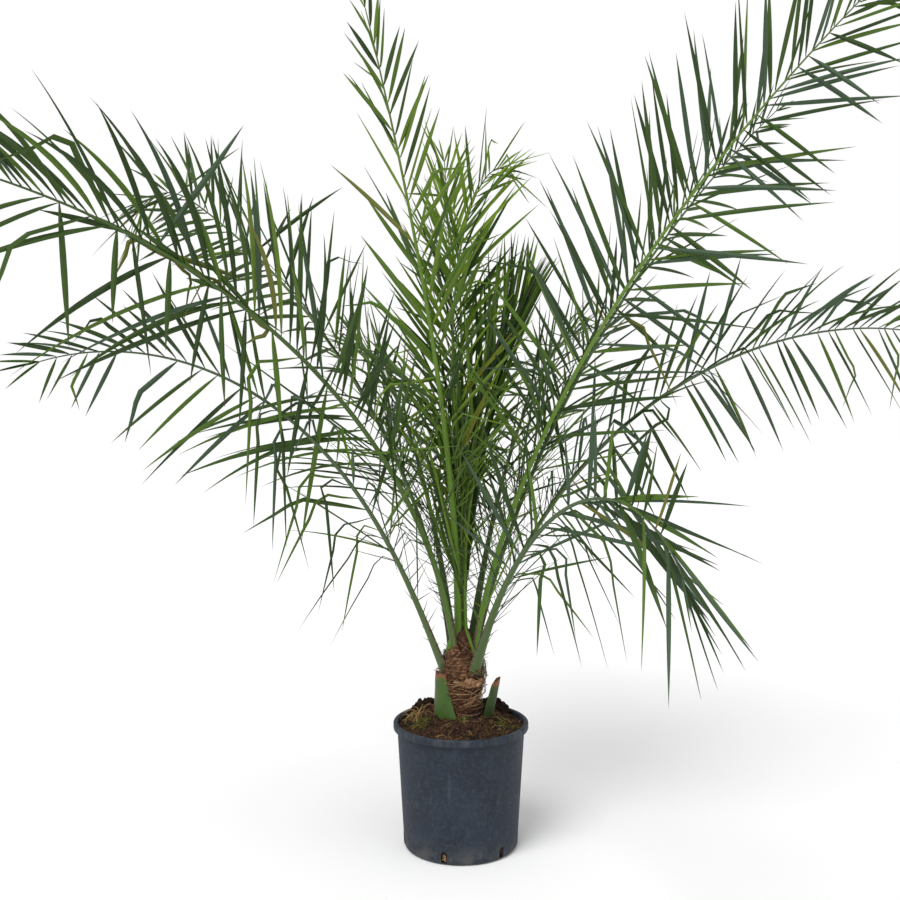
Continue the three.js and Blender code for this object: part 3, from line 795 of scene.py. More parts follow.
class Growth:
    """Points that leaflets or spines grow on, with what each needs. Lengths are in millimetres."""

    def __init__(self):
        self.rows = []

    def add(self, root, heading, across, face, length, width, tint, bend=None, twist=0.0,
            kink=0.0, kink_at=0.5):
        """One leaflet: its root and direction, the side that it is wide along and the side it opens to."""
        turned = Matrix((heading, across, face)).transposed().to_quaternion()
        drop = heading.cross(DOWN)
        hinge = drop.normalized() if drop.length > 1e-3 else across
        self.rows.append(dict(
            place=root * MM, turned=turned, size=Vector((length, width, width)) * MM,
            root=root * MM, heading=heading, twist=twist, kink=kink, kink_at=kink_at,
            elbow=(root + heading * (length * kink_at)) * MM, hinge=hinge,
            bend=(bend or Vector()) * MM, tint=tint))

    def points_object(self, name):
        mesh = bpy.data.meshes.new(name)
        mesh.from_pydata([tuple(row["place"]) for row in self.rows], [], [])
        kinds = dict(
            turned="QUATERNION", size="FLOAT_VECTOR", root="FLOAT_VECTOR", heading="FLOAT_VECTOR",
            elbow="FLOAT_VECTOR", hinge="FLOAT_VECTOR", bend="FLOAT_VECTOR", twist="FLOAT",
            kink="FLOAT", kink_at="FLOAT", tint="INT")
        for key, kind in kinds.items():
            values = [row[key] for row in self.rows]
            attribute = mesh.attributes.new(key, kind, "POINT")
            if kind == "FLOAT_VECTOR":
                attribute.data.foreach_set("vector", np.array(values, np.float32).ravel())
            elif kind == "QUATERNION":
                attribute.data.foreach_set("value", np.array(values, np.float32).ravel())
            else:
                attribute.data.foreach_set("value", values)
        return linked(name, mesh)


def leaf_frame(rib, t, sideways, opening, lift, roll):
    """A leaflet's direction, the side it is wide along and the side that it opens to."""
    along, up, side = rib.axes(t)
    out = side * (sideways * math.cos(lift)) + up * math.sin(lift)
    heading = (along * math.cos(opening) + out * math.sin(opening)).normalized()
    across = (along - heading * along.dot(heading)).normalized()
    across.rotate(Quaternion(heading, roll))
    face = heading.cross(across)
    if face.dot(up) < 0:
        across, face = -across, -face
    return heading, across, face


def leaf_length(frond, u):
    return frond.leaf * (0.4 + 0.6 * math.sin(math.pi * (0.25 + 0.65 * u)))


def angle(chance, low, high):
    """A random angle between two, given in degrees."""
    return math.radians(chance.uniform(low, high))


def pick(chance, tints):
    """The number of a blade colour, dealt out by weight."""
    return chance.choices(range(len(tints)), list(tints.values()))[0]


def drawn(heading, frond, sideways, u, chance):
    """A leaflet's direction where it has been drawn up or down, and its scale."""
    for side, start, end, share, pull, scale in frond.lean:
        if sideways == side and start <= u <= end and chance.random() < share:
            return (heading + UP * (pull * chance.uniform(0.8, 1.2))).normalized(), scale
    return heading, 1.0


def faced(heading, along, up, roll):
    """The side that a leaflet is wide along and the side that it opens to."""
    across = along - heading * along.dot(heading)
    across = across.normalized() if across.length > 1e-3 else heading.orthogonal().normalized()
    across.rotate(Quaternion(heading, roll))
    face = heading.cross(across)
    return (-across, -face) if face.dot(up) < 0 else (across, face)


def grow_blade(frond, rib, chance, tints):
    """A frond's leaflets, along both sides in three planes."""
    growth = Growth()
    count = round(frond.pairs * frond.finer)
    for i in range(count):
        for sideways in (-1, 1):
            u = (i + 0.35 * (chance.random() - 0.5) + (0.25 if i % 3 == 1 else 0)) / (count - 1)
            u = min(max(u, 0), 1)
            hanging = sideways == frond.lower
            if sideways == frond.bare and u > 0.25 and chance.random() < frond.gone:
                continue
            t = BLADE_START - 0.05 + (BLADE_END - BLADE_START + 0.05) * u
            opening = math.radians(frond.opening * (1.15 - 0.6 * u**2) + chance.uniform(-8, 8))
            if chance.random() < frond.stray:
                opening = angle(chance, 80, 140)
            rank = RANKS[(0, 1, 1, 2)[i % 4]]
            lift = angle(chance, *rank)
            if hanging:
                lift = math.radians(chance.uniform(-1.3, -0.5) * frond.hang * (0.8 + 0.6 * u))
            heading = leaf_frame(rib, t, sideways, opening, lift, 0)[0]
            along, up, side = rib.axes(t)
            heading, scale = drawn(heading, frond, sideways, u, chance)
            across, face = faced(heading, along, up, angle(chance, -25, 25))
            length = leaf_length(frond, u) * (1 + frond.tip * u * u) * scale
            length *= frond.longer * chance.uniform(0.88, 1.08)
            ramp = min(1, 0.45 + u * 4) * (0.78 + 0.22 * math.sin(math.pi * u))
            width = LEAF_WIDTH * frond.broad * ramp * chance.uniform(0.82, 1.18)
            level = math.hypot(heading.x, heading.y)
            bend = DOWN * (length * frond.sag * level * chance.uniform(0.6, 1.5))
            bend += face * (length * chance.uniform(-0.03, 0.05))
            if not hanging:
                bend += (along + DOWN * 0.7) * (length * frond.arch * chance.uniform(0.4, 1.4))
            kink, kink_at = 0.0, 0.5
            if u < frond.limp_to and chance.random() < frond.limp:
                kink, kink_at = angle(chance, 45, 105), chance.uniform(0.12, 0.34)
                width *= 0.75
            elif chance.random() < frond.kinks:
                kink, kink_at = angle(chance, 25, 80), chance.uniform(0.35, 0.7)
            root = rib.point(t) + side * (sideways * rib.width(t) * 0.3)
            growth.add(root, heading, across, face, length, width, pick(chance, tints), bend,
                       angle(chance, -50, 50), kink, kink_at)
    grow_wisps(frond, rib, chance, growth, tints)
    grow_fallen(frond, rib, chance, growth, tints)
    end_leaf(frond, rib, chance, growth, tints)
    return growth


def grow_fallen(frond, rib, chance, growth, tints):
    """Leaflets that hang straight down from the rib, and yellowing ones that lie along it."""
    yellow = list(tints).index("yellow") if "yellow" in tints else 0
    for i in range(frond.drops):
        t = 0.46 + 0.34 * (i + chance.random()) / frond.drops
        along, up, side = rib.axes(t)
        heading = (DOWN + along * chance.uniform(-0.1, 0.25) + side * chance.uniform(-0.2, 0.2)).normalized()
        across, face = faced(heading, along, up, angle(chance, -40, 40))
        growth.add(rib.point(t), heading, across, face, frond.leaf * chance.uniform(0.5, 0.8),
                   LEAF_WIDTH * frond.broad, pick(chance, tints), side * chance.uniform(-20, 20),
                   angle(chance, -40, 40))
    for _ in range(frond.clinging):
        t = chance.uniform(0.54, 0.8)
        along, up, side = rib.axes(t)
        heading = (along * chance.choice((1, 1, -0.8)) + side * chance.uniform(-0.2, 0.2)
                   + up * chance.uniform(-0.1, 0.25)).normalized()
        across, face = faced(heading, side, up, angle(chance, -60, 60))
        tint = yellow if chance.random() < 0.4 else pick(chance, tints)
        kink = angle(chance, 60, 130) if chance.random() < 0.35 else 0.0
        growth.add(rib.point(t) + up * 6, heading, across, face, frond.leaf * chance.uniform(0.3, 0.6),
                   LEAF_WIDTH * frond.broad, tint, DOWN * chance.uniform(0, 25),
                   angle(chance, -50, 50), kink, chance.uniform(0.4, 0.7))


def grow_wisps(frond, rib, chance, growth, tints):
    """Narrow leaflets at the foot of the blade, between the spines and the full leaflets."""
    for _ in range(frond.wisps):
        u = chance.random()
        t = 0.13 + 0.2 * u
        sideways = chance.choice((-1, 1))
        heading, across, face = leaf_frame(
            rib, t, sideways, angle(chance, 16, 50), angle(chance, -25, 75),
            angle(chance, -40, 40))
        length = (0.7 + 0.5 * u) * frond.leaf * chance.uniform(0.7, 1.25)
        kink = angle(chance, 30, 90) if chance.random() < frond.kinks else 0.0
        root = rib.point(t) + rib.axes(t)[2] * (sideways * rib.width(t) * 0.34)
        growth.add(root, heading, across, face, length, (3.5 + 5 * u) * chance.uniform(0.8, 1.25),
                   pick(chance, tints), DOWN * (length * 0.08 * chance.random()), 0.0,
                   kink, chance.uniform(0.3, 0.6))


def grow_bundle(frond, rib, chance, tints):
    """The spear's leaflets, still pressed together: half of them round the rib, half in a fan above it."""
    growth = Growth()
    for i in range(SPEAR_LEAFLETS):
        u = i / (SPEAR_LEAFLETS - 1)
        t = 0.14 + 0.74 * u
        fan = i % 2 == 0
        lift = math.radians(chance.uniform(62, 118) if fan else chance.uniform(-90, 90))
        opening = math.radians(chance.uniform(9, 24) if fan else chance.uniform(1, 6))
        sideways = chance.choice((-1, 1))
        heading, across, face = leaf_frame(rib, t, sideways, opening, lift, 0)
        along, up, side = rib.axes(t)
        spread = 11 * math.sin(math.pi * (0.15 + 0.85 * u) ** 0.9) + 3
        out = side * (math.cos(lift) * sideways) + up * math.sin(lift)
        length = min(430, (1.02 - t) * frond.length + 50) * chance.uniform(0.8, 1.1)
        after = rib.point(min(1, t + length / frond.length)) - rib.point(t) - along * length
        growth.add(rib.point(t) + out * spread, heading, across, face, length,
                   12 * chance.uniform(0.8, 1.2), pick(chance, tints), after * (0.3 if fan else 0.8),
                   angle(chance, -30, 30))
    return growth


def end_leaf(frond, rib, chance, growth, tints):
    """The rib's own last leaflet and the close pair beside it."""
    along, up, side = rib.axes(1)
    for spread in (-0.36, -0.1, 0.3):
        heading = (along + side * spread + up * chance.uniform(-0.15, 0.15)).normalized()
        across = (side - heading * side.dot(heading)).normalized()
        growth.add(rib.point(1), heading, across, heading.cross(across),
                   frond.leaf * TERMINAL_SHARE * chance.uniform(0.9, 1.3), LEAF_WIDTH * 0.5,
                   pick(chance, tints), DOWN * chance.uniform(0, 12))


def grow_spines(frond, rib, chance):
    """Stiff spines up both edges of the petiole, longer and thinner towards the blade."""
    growth = Growth()
    start, end, spacing = 100, BLADE_START * frond.length, 33
    count = round((end - start) / spacing)
    for i in range(count):
        u = i / (count - 1)
        for sideways in (-1, 1):
            t = (start + (end - start) * u + chance.uniform(-6, 6)) / frond.length
            opening = angle(chance, 38, 74)
            lift = angle(chance, -12, 68)
            heading, across, face = leaf_frame(rib, t, sideways, opening, lift, 0)
            length = (24 + 150 * u) * chance.uniform(0.6, 1.4)
            root = rib.point(t) + rib.axes(t)[2] * (sideways * rib.width(t) * 0.4)
            bend = DOWN * (length * 0.05 * chance.random()) + face * (length * chance.uniform(-0.05, 0.06))
            growth.add(root, heading, across, face, length, (3 + 1.2 * u) * chance.uniform(0.8, 1.2), 0, bend)
    return growth


def dress_fronds():
    """Every frond: its rib, its leaflets and its spines."""
    blade, spine = blade_prototype(), spine_prototype()
    trees = {}
    for tone, tints in TONES.items():
        finishes = [(0, i, BLADES[name]) for i, name in enumerate(tints)]
        finishes += [(1, i, BACKS[name]) for i, name in enumerate(tints)]
        trees[tone] = leaflet_tree(finishes + [(2, None, DRY_TIP)])
    spine_trees = {
        "fresh": leaflet_tree([(0, None, SPINE_GREEN), (2, None, DRY_TIP)]),
        "grey": leaflet_tree([(0, None, SPINE_GREY), (2, None, DRY_TIP)]),
    }
    for number, (name, frond) in enumerate(FRONDS.items()):
        chance = random.Random(f"palm {number}")
        rib = Rib(frond)
        slot = "young_frond" if frond.ring is RINGS["inner"] else "frond"
        nodes = [name, f"{name}_outer"] if frond.outer else [name]
        stalk = rib_piece(name, frond, rib)
        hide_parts(*nodes)
        sprout = grow_bundle if frond.swell else grow_blade
        base = sprout(frond, rib, chance, TONES[frond.tone]).points_object("leaflet_places")
        leaflets = grow(f"{name}_leaflets", base, trees[frond.tone], {"Shape": blade}, slot)
        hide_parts(*nodes)
        away(base)
        base = grow_spines(frond, rib, chance).points_object("spine_places")
        kind = "fresh" if frond.rib == "fresh" else "grey"
        spines = grow(f"{name}_spines", base, spine_trees[kind], {"Shape": spine}, slot)
        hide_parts(*nodes)
        away(base)
    away(blade, spine)


dress_fronds()


# ---- pot ----

POT_FOOT = 173 * MM  # the wall's radius low down
FOOT_ROUND = 14 * MM
POT_WALL = 3 * MM
LIP_DEPTH = 22 * MM
LIP_ROUND = 5 * MM
SLOTS = 6
FIRST_SLOT = -17  # degrees from -Y


def pot_piece():
    """The pot's shell with its rolled lip, its bulged foot and its drain slots."""
    height = pot_high.z
    lip = pot_high.x
    foot = POT_FOOT
    wall_top = lip - 12 * MM
    lip_floor = height - LIP_DEPTH

    def out(h):
        """The wall's outer radius at a height."""
        return foot + (wall_top - foot) * max(0, h - FOOT_ROUND) / (lip_floor - FOOT_ROUND)

    profile = [(0, 0), (foot - 22 * MM, 0)]
    for k in range(7):
        a = math.radians(90 * k / 6)
        profile.append((foot - 13 * MM + FOOT_ROUND * math.sin(a), FOOT_ROUND - FOOT_ROUND * math.cos(a)))
    profile += [(foot + 1.4 * MM, 26 * MM), (out(0.036) + 0.8 * MM, 36 * MM), (out(0.042), 42 * MM)]
    for k in range(1, 9):
        h = 42 * MM + (lip_floor - 42 * MM) * k / 9
        profile.append((out(h), h))
    profile += [(out(lip_floor), lip_floor - 1.5 * MM), (out(lip_floor) + 1.5 * MM, lip_floor)]
    for middle, first in ((lip_floor + LIP_ROUND, -90), (height - LIP_ROUND, 0)):
        for k in range(5):
            a = math.radians(first + 90 * k / 4)
            profile.append((lip - LIP_ROUND + LIP_ROUND * math.cos(a), middle + LIP_ROUND * math.sin(a)))
    profile += [(lip - 10 * MM, height), (lip - 13 * MM, height - 1.5 * MM), (lip - 15 * MM, height - 6 * MM)]
    for k in range(6):
        h = height - 30 * MM - (height - 60 * MM) * k / 5
        profile.append((out(h) - POT_WALL, h))
    profile += [(foot - 14 * MM, 5 * MM), (0, 4 * MM)]
    pot = lathe("pot_shell", profile, 160, [PLASTIC])
    cutters = [
        slot_cutter(math.radians(FIRST_SLOT + 360 // SLOTS * i) - math.pi / 2, foot) for i in range(SLOTS)]
    for cutter in cutters:
        cut = pot.modifiers.new("Slot", "BOOLEAN")
        cut.object = cutter
        cut.solver = "EXACT"
    graph = bpy.context.evaluated_depsgraph_get()
    mesh = bpy.data.meshes.new_from_object(pot.evaluated_get(graph))
    pot.modifiers.clear()
    pot.data = mesh
    away(*cutters)
    sharpen(pot, 32)
    return finished(pot, "pot", "pot")


def slot_cutter(heading, foot):
    """A rounded drain slot, upright, cut through the pot's foot."""
    half, low, high = 9 * MM, 5 * MM, 40 * MM
    outline = []
    for k in range(13):
        a = math.pi * k / 12
        outline.append((half * math.cos(a), high - half + half * math.sin(a)))
    outline += [(-half, low), (half, low)]
    spin = Matrix.Rotation(heading, 3, "Z")
    points, faces = loft([
        [spin @ Vector((depth, x, z)) for x, z in outline] for depth in (foot - 34 * MM, foot + 20 * MM)])
    cutter = mesh_object("slot_cutter", points, faces, [])
    recalculate(cutter)
    return cutter


pot_piece()


# ---- soil ----

def soil_level(x, y):
    """The height of the soil's top at a place, in metres: a mound round the stem with a rough skin."""
    radius = math.hypot(x, y)
    rim = pot_high.x - 18 * MM
    share = min(1, max(0, (radius - 0.09) / (rim - 0.09)))
    mound = soil_high.z - (soil_high.z - (pot_high.z - 13 * MM)) * (share * share * (3 - 2 * share)) ** 0.8
    rough = 0.006 * fractal((x, y, 0), 22) + 0.0035 * fractal((x, y, 3), 70)
    return mound + rough * (1 if radius < rim - 0.02 else 0.4)


def soil_piece():
    """The soil that fills the pot, with a rough top."""
    inner = pot_high.x - 15.6 * MM
    profile = [(0, 4.6 * MM), (158 * MM, 5 * MM), (169 * MM, 18 * MM), (172 * MM, 60 * MM)]
    profile += [(inner - 4 * MM, 330 * MM), (inner, pot_high.z - 16 * MM)]
    rings = 64
    for i in range(rings + 1):
        profile.append((inner * (1 - i / rings), pot_high.z))
    obj = lathe("soil_bed", profile, 200, [PEAT])
    for vertex in obj.data.vertices:
        if vertex.co.z > pot_high.z - 1e-5:
            vertex.co.z = soil_level(vertex.co.x, vertex.co.y)
    obj.data.update()
    return finished(obj, "soil", "soil")


soil = soil_piece()


def lump_prototype(name, material, seed, flat):
    """A crumb of peat about 1 across."""
    mesh = bmesh.new()
    bmesh.ops.create_icosphere(mesh, subdivisions=2, radius=0.5)
    for vertex in mesh.verts:
        vertex.co *= 1 + 0.45 * noise.noise(vertex.co * 2.6 + Vector((seed, 0, 0)))
        vertex.co.z *= flat
    data = bpy.data.meshes.new(name)
    mesh.to_mesh(data)
    mesh.free()
    data.materials.append(material)
    data.polygons.foreach_set("use_smooth", [True] * len(data.polygons))
    return linked(name, data)


def scatter_tree(name):
    """Strews one shape over the upward faces of a surface, turned and sized at random."""
    tree = Tree(name, [
        ("Shape", "NodeSocketObject", None), ("Density", "NodeSocketFloat", 1000.0),
        ("Smallest", "NodeSocketFloat", 0.004), ("Largest", "NodeSocketFloat", 0.012),
        ("Tilt", "NodeSocketFloat", 0.6), ("Seed", "NodeSocketInt", 1)])
    normal = tree.add("GeometryNodeInputNormal", {})
    up = tree.add("ShaderNodeSeparateXYZ", {"Vector": normal}, out=2)
    place = tree.add("GeometryNodeInputPosition", {})
    high = tree.add("ShaderNodeSeparateXYZ", {"Vector": place}, out=2)
    top = tree.add("FunctionNodeBooleanMath", {
        0: tree.math("GREATER_THAN", up, 0.3), 1: tree.math("GREATER_THAN", high, 0.34)}, operation="AND")
    points = tree.add("GeometryNodeDistributePointsOnFaces", {
        "Mesh": tree.given("Geometry"), "Selection": top, "Density": tree.given("Density"),
        "Seed": tree.given("Seed")})
    lean = tree.given("Tilt")
    back = tree.math("MULTIPLY", lean, -1.0)
    low = tree.add("ShaderNodeCombineXYZ", {0: back, 1: back, 2: 0.0})
    far = tree.add("ShaderNodeCombineXYZ", {0: lean, 1: lean, 2: 6.283})
    turned = tree.add("FunctionNodeRandomValue", {
        0: low, 1: far, "Seed": tree.given("Seed")}, data_type="FLOAT_VECTOR")
    size = tree.add("FunctionNodeRandomValue", {
        2: tree.given("Smallest"), 3: tree.given("Largest"), "Seed": tree.given("Seed")},
        out=1, data_type="FLOAT")
    shape = tree.add("GeometryNodeObjectInfo", {"Object": tree.given("Shape")}, out="Geometry")
    placed = tree.add("GeometryNodeInstanceOnPoints", {
        "Points": points, "Instance": shape, "Rotation": turned, "Scale": size})
    return tree.ends_in(tree.add("GeometryNodeRealizeInstances", {"Geometry": placed}))


STREW = scatter_tree("strew_on_soil")


HEAPS = {"left": (-0.116, 0.112), "right": (0.108, 0.118), "middle": (-0.03, 0.158)}  # x and y
HEAP_SIZE = (0.072, 0.03, 0.05)  # half its width and depth, and its height
HEAP_REACH = 0.184  # how far from the pot's axis a heap goes


def heap_piece(name, x, y, wide, deep, high):
    """A low heap of peat that was pushed up against the pot's rim."""
    rings = []
    for i in range(9):
        share = i / 8
        ring = []
        for j in range(40):
            a = 2 * math.pi * j / 40
            reach = (1 - share) * (1 + 0.25 * noise.noise(Vector((math.cos(a) * 2, math.sin(a) * 2, x * 50))))
            px, py = x + wide * reach * math.cos(a), y + deep * reach * math.sin(a)
            inside = min(1, HEAP_REACH / math.hypot(px, py))
            px, py = px * inside, py * inside
            rise = high * (1 - reach * reach) * (0.75 + 0.5 * noise.noise(Vector((px * 60, py * 60, 2))))
            ring.append(Vector((px, py, soil_level(px, py) - 0.002 + max(0, rise))))
        rings.append(ring)
    points, faces = loft(rings)
    heap = mesh_object(name, points, faces, [CLOD])
    recalculate(heap)
    return finished(heap, "soil")


def dress_soil():
    """Heaps of peat at the back of the rim, with clods on them, and crumbs and clods over the rest."""
    crumb = lump_prototype("crumb_shape", PEAT, 1.0, 0.8)
    clod = lump_prototype("clod_shape", CLOD, 7.0, 0.9)
    for side, (x, y) in HEAPS.items():
        heap = heap_piece(f"soil_heap_{side}", x, y, *HEAP_SIZE)
        grow(f"soil_heap_{side}_clods", heap, STREW, {
            "Shape": clod, "Density": 16000.0, "Smallest": 0.006, "Largest": 0.016, "Seed": 5}, "soil")
    grow("soil_crumbs", soil, STREW, {
        "Shape": crumb, "Density": 9000.0, "Smallest": 0.0025, "Largest": 0.008, "Seed": 3}, "soil")
    grow("soil_clods", soil, STREW, {
        "Shape": clod, "Density": 1100.0, "Smallest": 0.006, "Largest": 0.017, "Seed": 8}, "soil")
    away(crumb, clod)


dress_soil()


# ---- strands: fibres on the stem and on the soil ----

def strand_tree():
    """Gives every strand of a curve a section whose size is the strand's own radius along it."""
    tree = Tree("spin_strands", [("Material", "NodeSocketMaterial", None)])
    ring = tree.add("GeometryNodeCurvePrimitiveCircle", {"Resolution": 4, "Radius": 1.0})
    tube = tree.add("GeometryNodeCurveToMesh", {
        "Curve": tree.given("Geometry"), "Profile Curve": ring,
        "Scale": tree.add("GeometryNodeInputRadius", {}), "Fill Caps": True})
    real = tree.add("GeometryNodeRealizeInstances", {"Geometry": tube})
    return tree.ends_in(tree.add("GeometryNodeSetMaterial", {
        "Geometry": real, "Material": tree.given("Material")}))


SPIN = strand_tree()


def strands_piece(name, strands, material, slot):
    """One piece from strands, each a list of (point, radius) in metres."""
    curve = bpy.data.curves.new(name, "CURVE")
    curve.dimensions = "3D"
    for strand in strands:
        spline = curve.splines.new("POLY")
        spline.points.add(len(strand) - 1)
        for spot, (point, radius) in zip(spline.points, strand):
            spot.co = (*point, 1)
            spot.radius = radius
    line = linked(f"{name}_lines", curve)
    piece = grow(name, line, SPIN, {"Material": material}, slot)
    away(line)
    return piece


def on_stem(turn, height, lift):
    """A place on the stem: heading in radians, height over its foot and lift off it in millimetres."""
    radius = (stem_radius(height) or STEM_PROFILE[-1][0]) + lift
    lean = height * math.tan(math.radians(STEM_LEAN))
    return Vector((radius * math.cos(turn) + lean, radius * math.sin(turn), STEM_FOOT + height)) * MM


# Old leaf bases wind up the stem, each a golden turn on from the last
BOOTS = [
    SimpleNamespace(
        turn=math.radians(137.5 * n + 20), top=26 + 11.5 * n, tall=62, half=math.radians(44), lift=9)
    for n in range(17)
]


def boot_lift(turn, height):
    """How far old leaf bases stand out of the stem: each grows upward and ends in a torn edge."""
    best = 0
    for n, boot in enumerate(BOOTS):
        a = ((turn - boot.turn + math.pi) % (2 * math.pi) - math.pi) / boot.half
        if abs(a) >= 1:
            continue
        torn = 5 * noise.noise(Vector((turn * 9, n * 3.7, 0)))
        down = (boot.top + 9 * (1 - a * a) + torn - height) / boot.tall
        if 0 <= down < 1:
            best = max(best, boot.lift * math.sqrt(1 - a * a) * (1 - down))
    return best


def stem_piece():
    """The stem with its overlapping leaf bases in relief."""
    around, rows = 220, 150
    top = STEM_PROFILE[-1][1]
    rings = []
    for i in range(rows + 1):
        height = -14 + (top + 14) * i / rows
        ring = []
        for j in range(around):
            turn = 2 * math.pi * j / around
            grain = 2.2 * fractal((math.cos(turn), math.sin(turn), height * 0.012), 5)
            ring.append(on_stem(turn, height, boot_lift(turn, height) + grain - 1.5))
        rings.append(ring)
    points, faces = loft(rings)
    obj = mesh_object("stem_bark", points, faces, [BARK])
    return finished(obj, "stem", "stem")


stem_piece()


# Torn sheaths that still clasp the stem: the way that each faces and half the angle that it covers,
# in degrees, the height of its foot and top over the soil, and how far these stand off the bark
WRAPS = {
    "sheath_net_front": (262, 66, 20, 150, 2, 7, "brown"),
    "sheath_net_left": (200, 50, 30, 178, 5, 13, "brown"),
    "sheath_net_right": (345, 46, 20, 200, 3, 11, "dark"),
    "sheath_net_back": (92, 80, 22, 150, 3, 9, "brown"),
    "sheath_net_high": (243, 38, 96, 222, 9, 14, "brown"),
    "torn_skin_front": (300, 32, 100, 130, 15, 19, "tan"),
    "torn_skin_middle": (262, 22, 100, 126, 9, 13, "tan"),
    "torn_skin_low": (300, 26, 40, 64, 6, 11, "tan"),
    "foot_scale_front": (268, 15, -8, 16, 8, 17, "tan"),
    "foot_scale_green": (284, 22, -10, 12, 12, 20, "green"),
    "foot_scale_left": (248, 16, -8, 14, 10, 19, "green"),
    "foot_scale_right": (312, 18, -8, 22, 8, 16, "dark"),
}


def wrap_piece(name, turn, half, low, high, near, far, tone):
    """A torn sheath remnant: a thin curved skin with frayed edges."""
    columns, rows = 64, 16
    seed = len(name) * 1.7 + turn
    rings = []
    for i in range(rows + 1):
        v = i / rows
        outer, inner = [], []
        for j in range(columns + 1):
            u = j / columns * 2 - 1
            fray = noise.noise(Vector((u * half * 0.09, seed, 1))) * 9
            fray += noise.noise(Vector((u * half * 0.5, seed, 4))) * 9
            reach = (high - low) * (0.45 + 0.55 * (1 - abs(u) ** 2.5)) + fray * v
            foot = low + 7 * noise.noise(Vector((u * half * 0.12, seed, 8)))
            side = 3 * noise.noise(Vector((v * 6, seed, 3 + round(u)))) * abs(u) ** 3
            turned = math.radians(turn + u * half + side)
            height = foot + reach * v
            ripple = 2.5 * noise.noise(Vector((turned * 5, height * 0.06, seed)))
            lift = near + (far - near) * v * v + ripple - 5 * abs(u) ** 4
            outer.append(on_stem(turned, height, lift))
            inner.append(on_stem(turned, height, lift - 1.5))
        rings.append(outer + inner[::-1])
    points, faces = loft(rings)
    obj = mesh_object(name, points, faces, [WRAP_FINISHES[tone]])
    recalculate(obj)
    return finished(obj, "stem")


def wrap_finish(name, base, dark, pale):
    """Old sheath fibre: fine threads up the stem and across it, with pale and dark patches."""
    made = Finish(name, base, 0.9, Specular_IOR_Level=0.15)
    upward = made.noise(230.0, 4.0, 0.65, (1, 1, 0.16))
    across = made.noise(210.0, 4.0, 0.65, (0.3, 0.3, 1))
    made.patch(blend(base, dark, 0.8), (30.0, 5.0, 0.65), 0.46, 0.62)
    made.paint(made.band(upward, 0.5, 0.58), dark)
    made.paint(made.band(across, 0.53, 0.6, 0.0, 0.9), pale)
    made.patch(times(dark, 0.45), (90.0, 6.0, 0.7), 0.4, 0.3, 0.0, 0.9)
    made.bump(upward, 0.003, 0.9)
    made.bump(across, 0.002, 0.6)
    return made.material


WRAP_FINISHES = {
    "brown": wrap_finish("sheath_net", shade(104, 72, 52), shade(62, 41, 31), shade(146, 110, 80)),
    "dark": wrap_finish("sheath_edge", shade(62, 50, 50), shade(34, 28, 33), shade(98, 80, 72)),
    "tan": wrap_finish("torn_skin", shade(160, 118, 86), shade(98, 66, 46), shade(200, 168, 134)),
    "green": wrap_finish("foot_scale", shade(84, 92, 48), shade(56, 56, 32), shade(140, 122, 84)),
}
for wrap_name, wrap in WRAPS.items():
    wrap_piece(wrap_name, *wrap)


def stem_strand(chance, slope, low, high, lift, thick, length=None):
    """A fibre that winds up the stem at a slope."""
    turn = chance.uniform(0, 2 * math.pi)
    height = chance.uniform(low, high)
    length = length or chance.uniform(35, 110)
    steps = 12
    strand = []
    drift = chance.uniform(-0.5, 0.5)
    wave = chance.uniform(0, 6)
    a, h = turn, height - length / 2 * math.sin(slope)
    for i in range(steps + 1):
        share = i / steps
        off = lift + boot_lift(a, h) + 2.5 * noise.noise(Vector((a * 5, h * 0.05, turn)))
        strand.append((on_stem(a, max(h, -6), off), thick * (0.4 + 0.6 * math.sin(math.pi * share)) * MM))
        angle = slope + drift * (share - 0.5) + 0.5 * noise.noise(Vector((wave, share * 3, 0)))
        h += length / steps * math.sin(angle)
        a += length / steps * math.cos(angle) / max(20, stem_radius(min(max(h, 0), 230)))
    return strand


def dress_stem():
    """The net of fibres round the stem, in three browns, and a few stout pale strands over it."""
    chance = random.Random("fibres")
    brown, dark, tan = [], [], []
    for _ in range(650):
        slope = math.radians(chance.choice((38, -38, 62, -62, 12)) + chance.uniform(-18, 18))
        bundle = chance.choices((brown, dark, tan), (5, 3, 3))[0]
        bundle.append(stem_strand(chance, slope, 4, 235, chance.uniform(0.2, 3.5), chance.uniform(0.25, 0.7)))
    for _ in range(170):
        slope = math.radians(chance.choice((14, -12, 38, -38, 62)) + chance.uniform(-20, 20))
        bundle = chance.choices((brown, dark, tan), (4, 3, 3))[0]
        bundle.append(stem_strand(
            chance, slope, 8, 195, chance.uniform(8, 13), chance.uniform(0.6, 1.2), chance.uniform(40, 110)))
    for _ in range(36):
        slope = math.radians(chance.choice((6, -8, 40, -44)) + chance.uniform(-22, 22))
        tan.append(stem_strand(
            chance, slope, 6, 110, chance.uniform(9, 16), chance.uniform(0.9, 1.4), chance.uniform(50, 120)))
    for _ in range(34):
        slope = angle(chance, -25, 25)
        bundle = chance.choice((brown, tan))
        bundle.append(stem_strand(
            chance, slope, 110, 190, chance.uniform(10, 19), chance.uniform(0.3, 0.7),
            chance.uniform(40, 90)))
    strands_piece("stem_fibres_brown", brown, BROWN, "stem")
    strands_piece("stem_fibres_dark", dark, RED_BROWN, "stem")
    strands_piece("stem_fibres_tan", tan, TAN, "stem")


dress_stem()


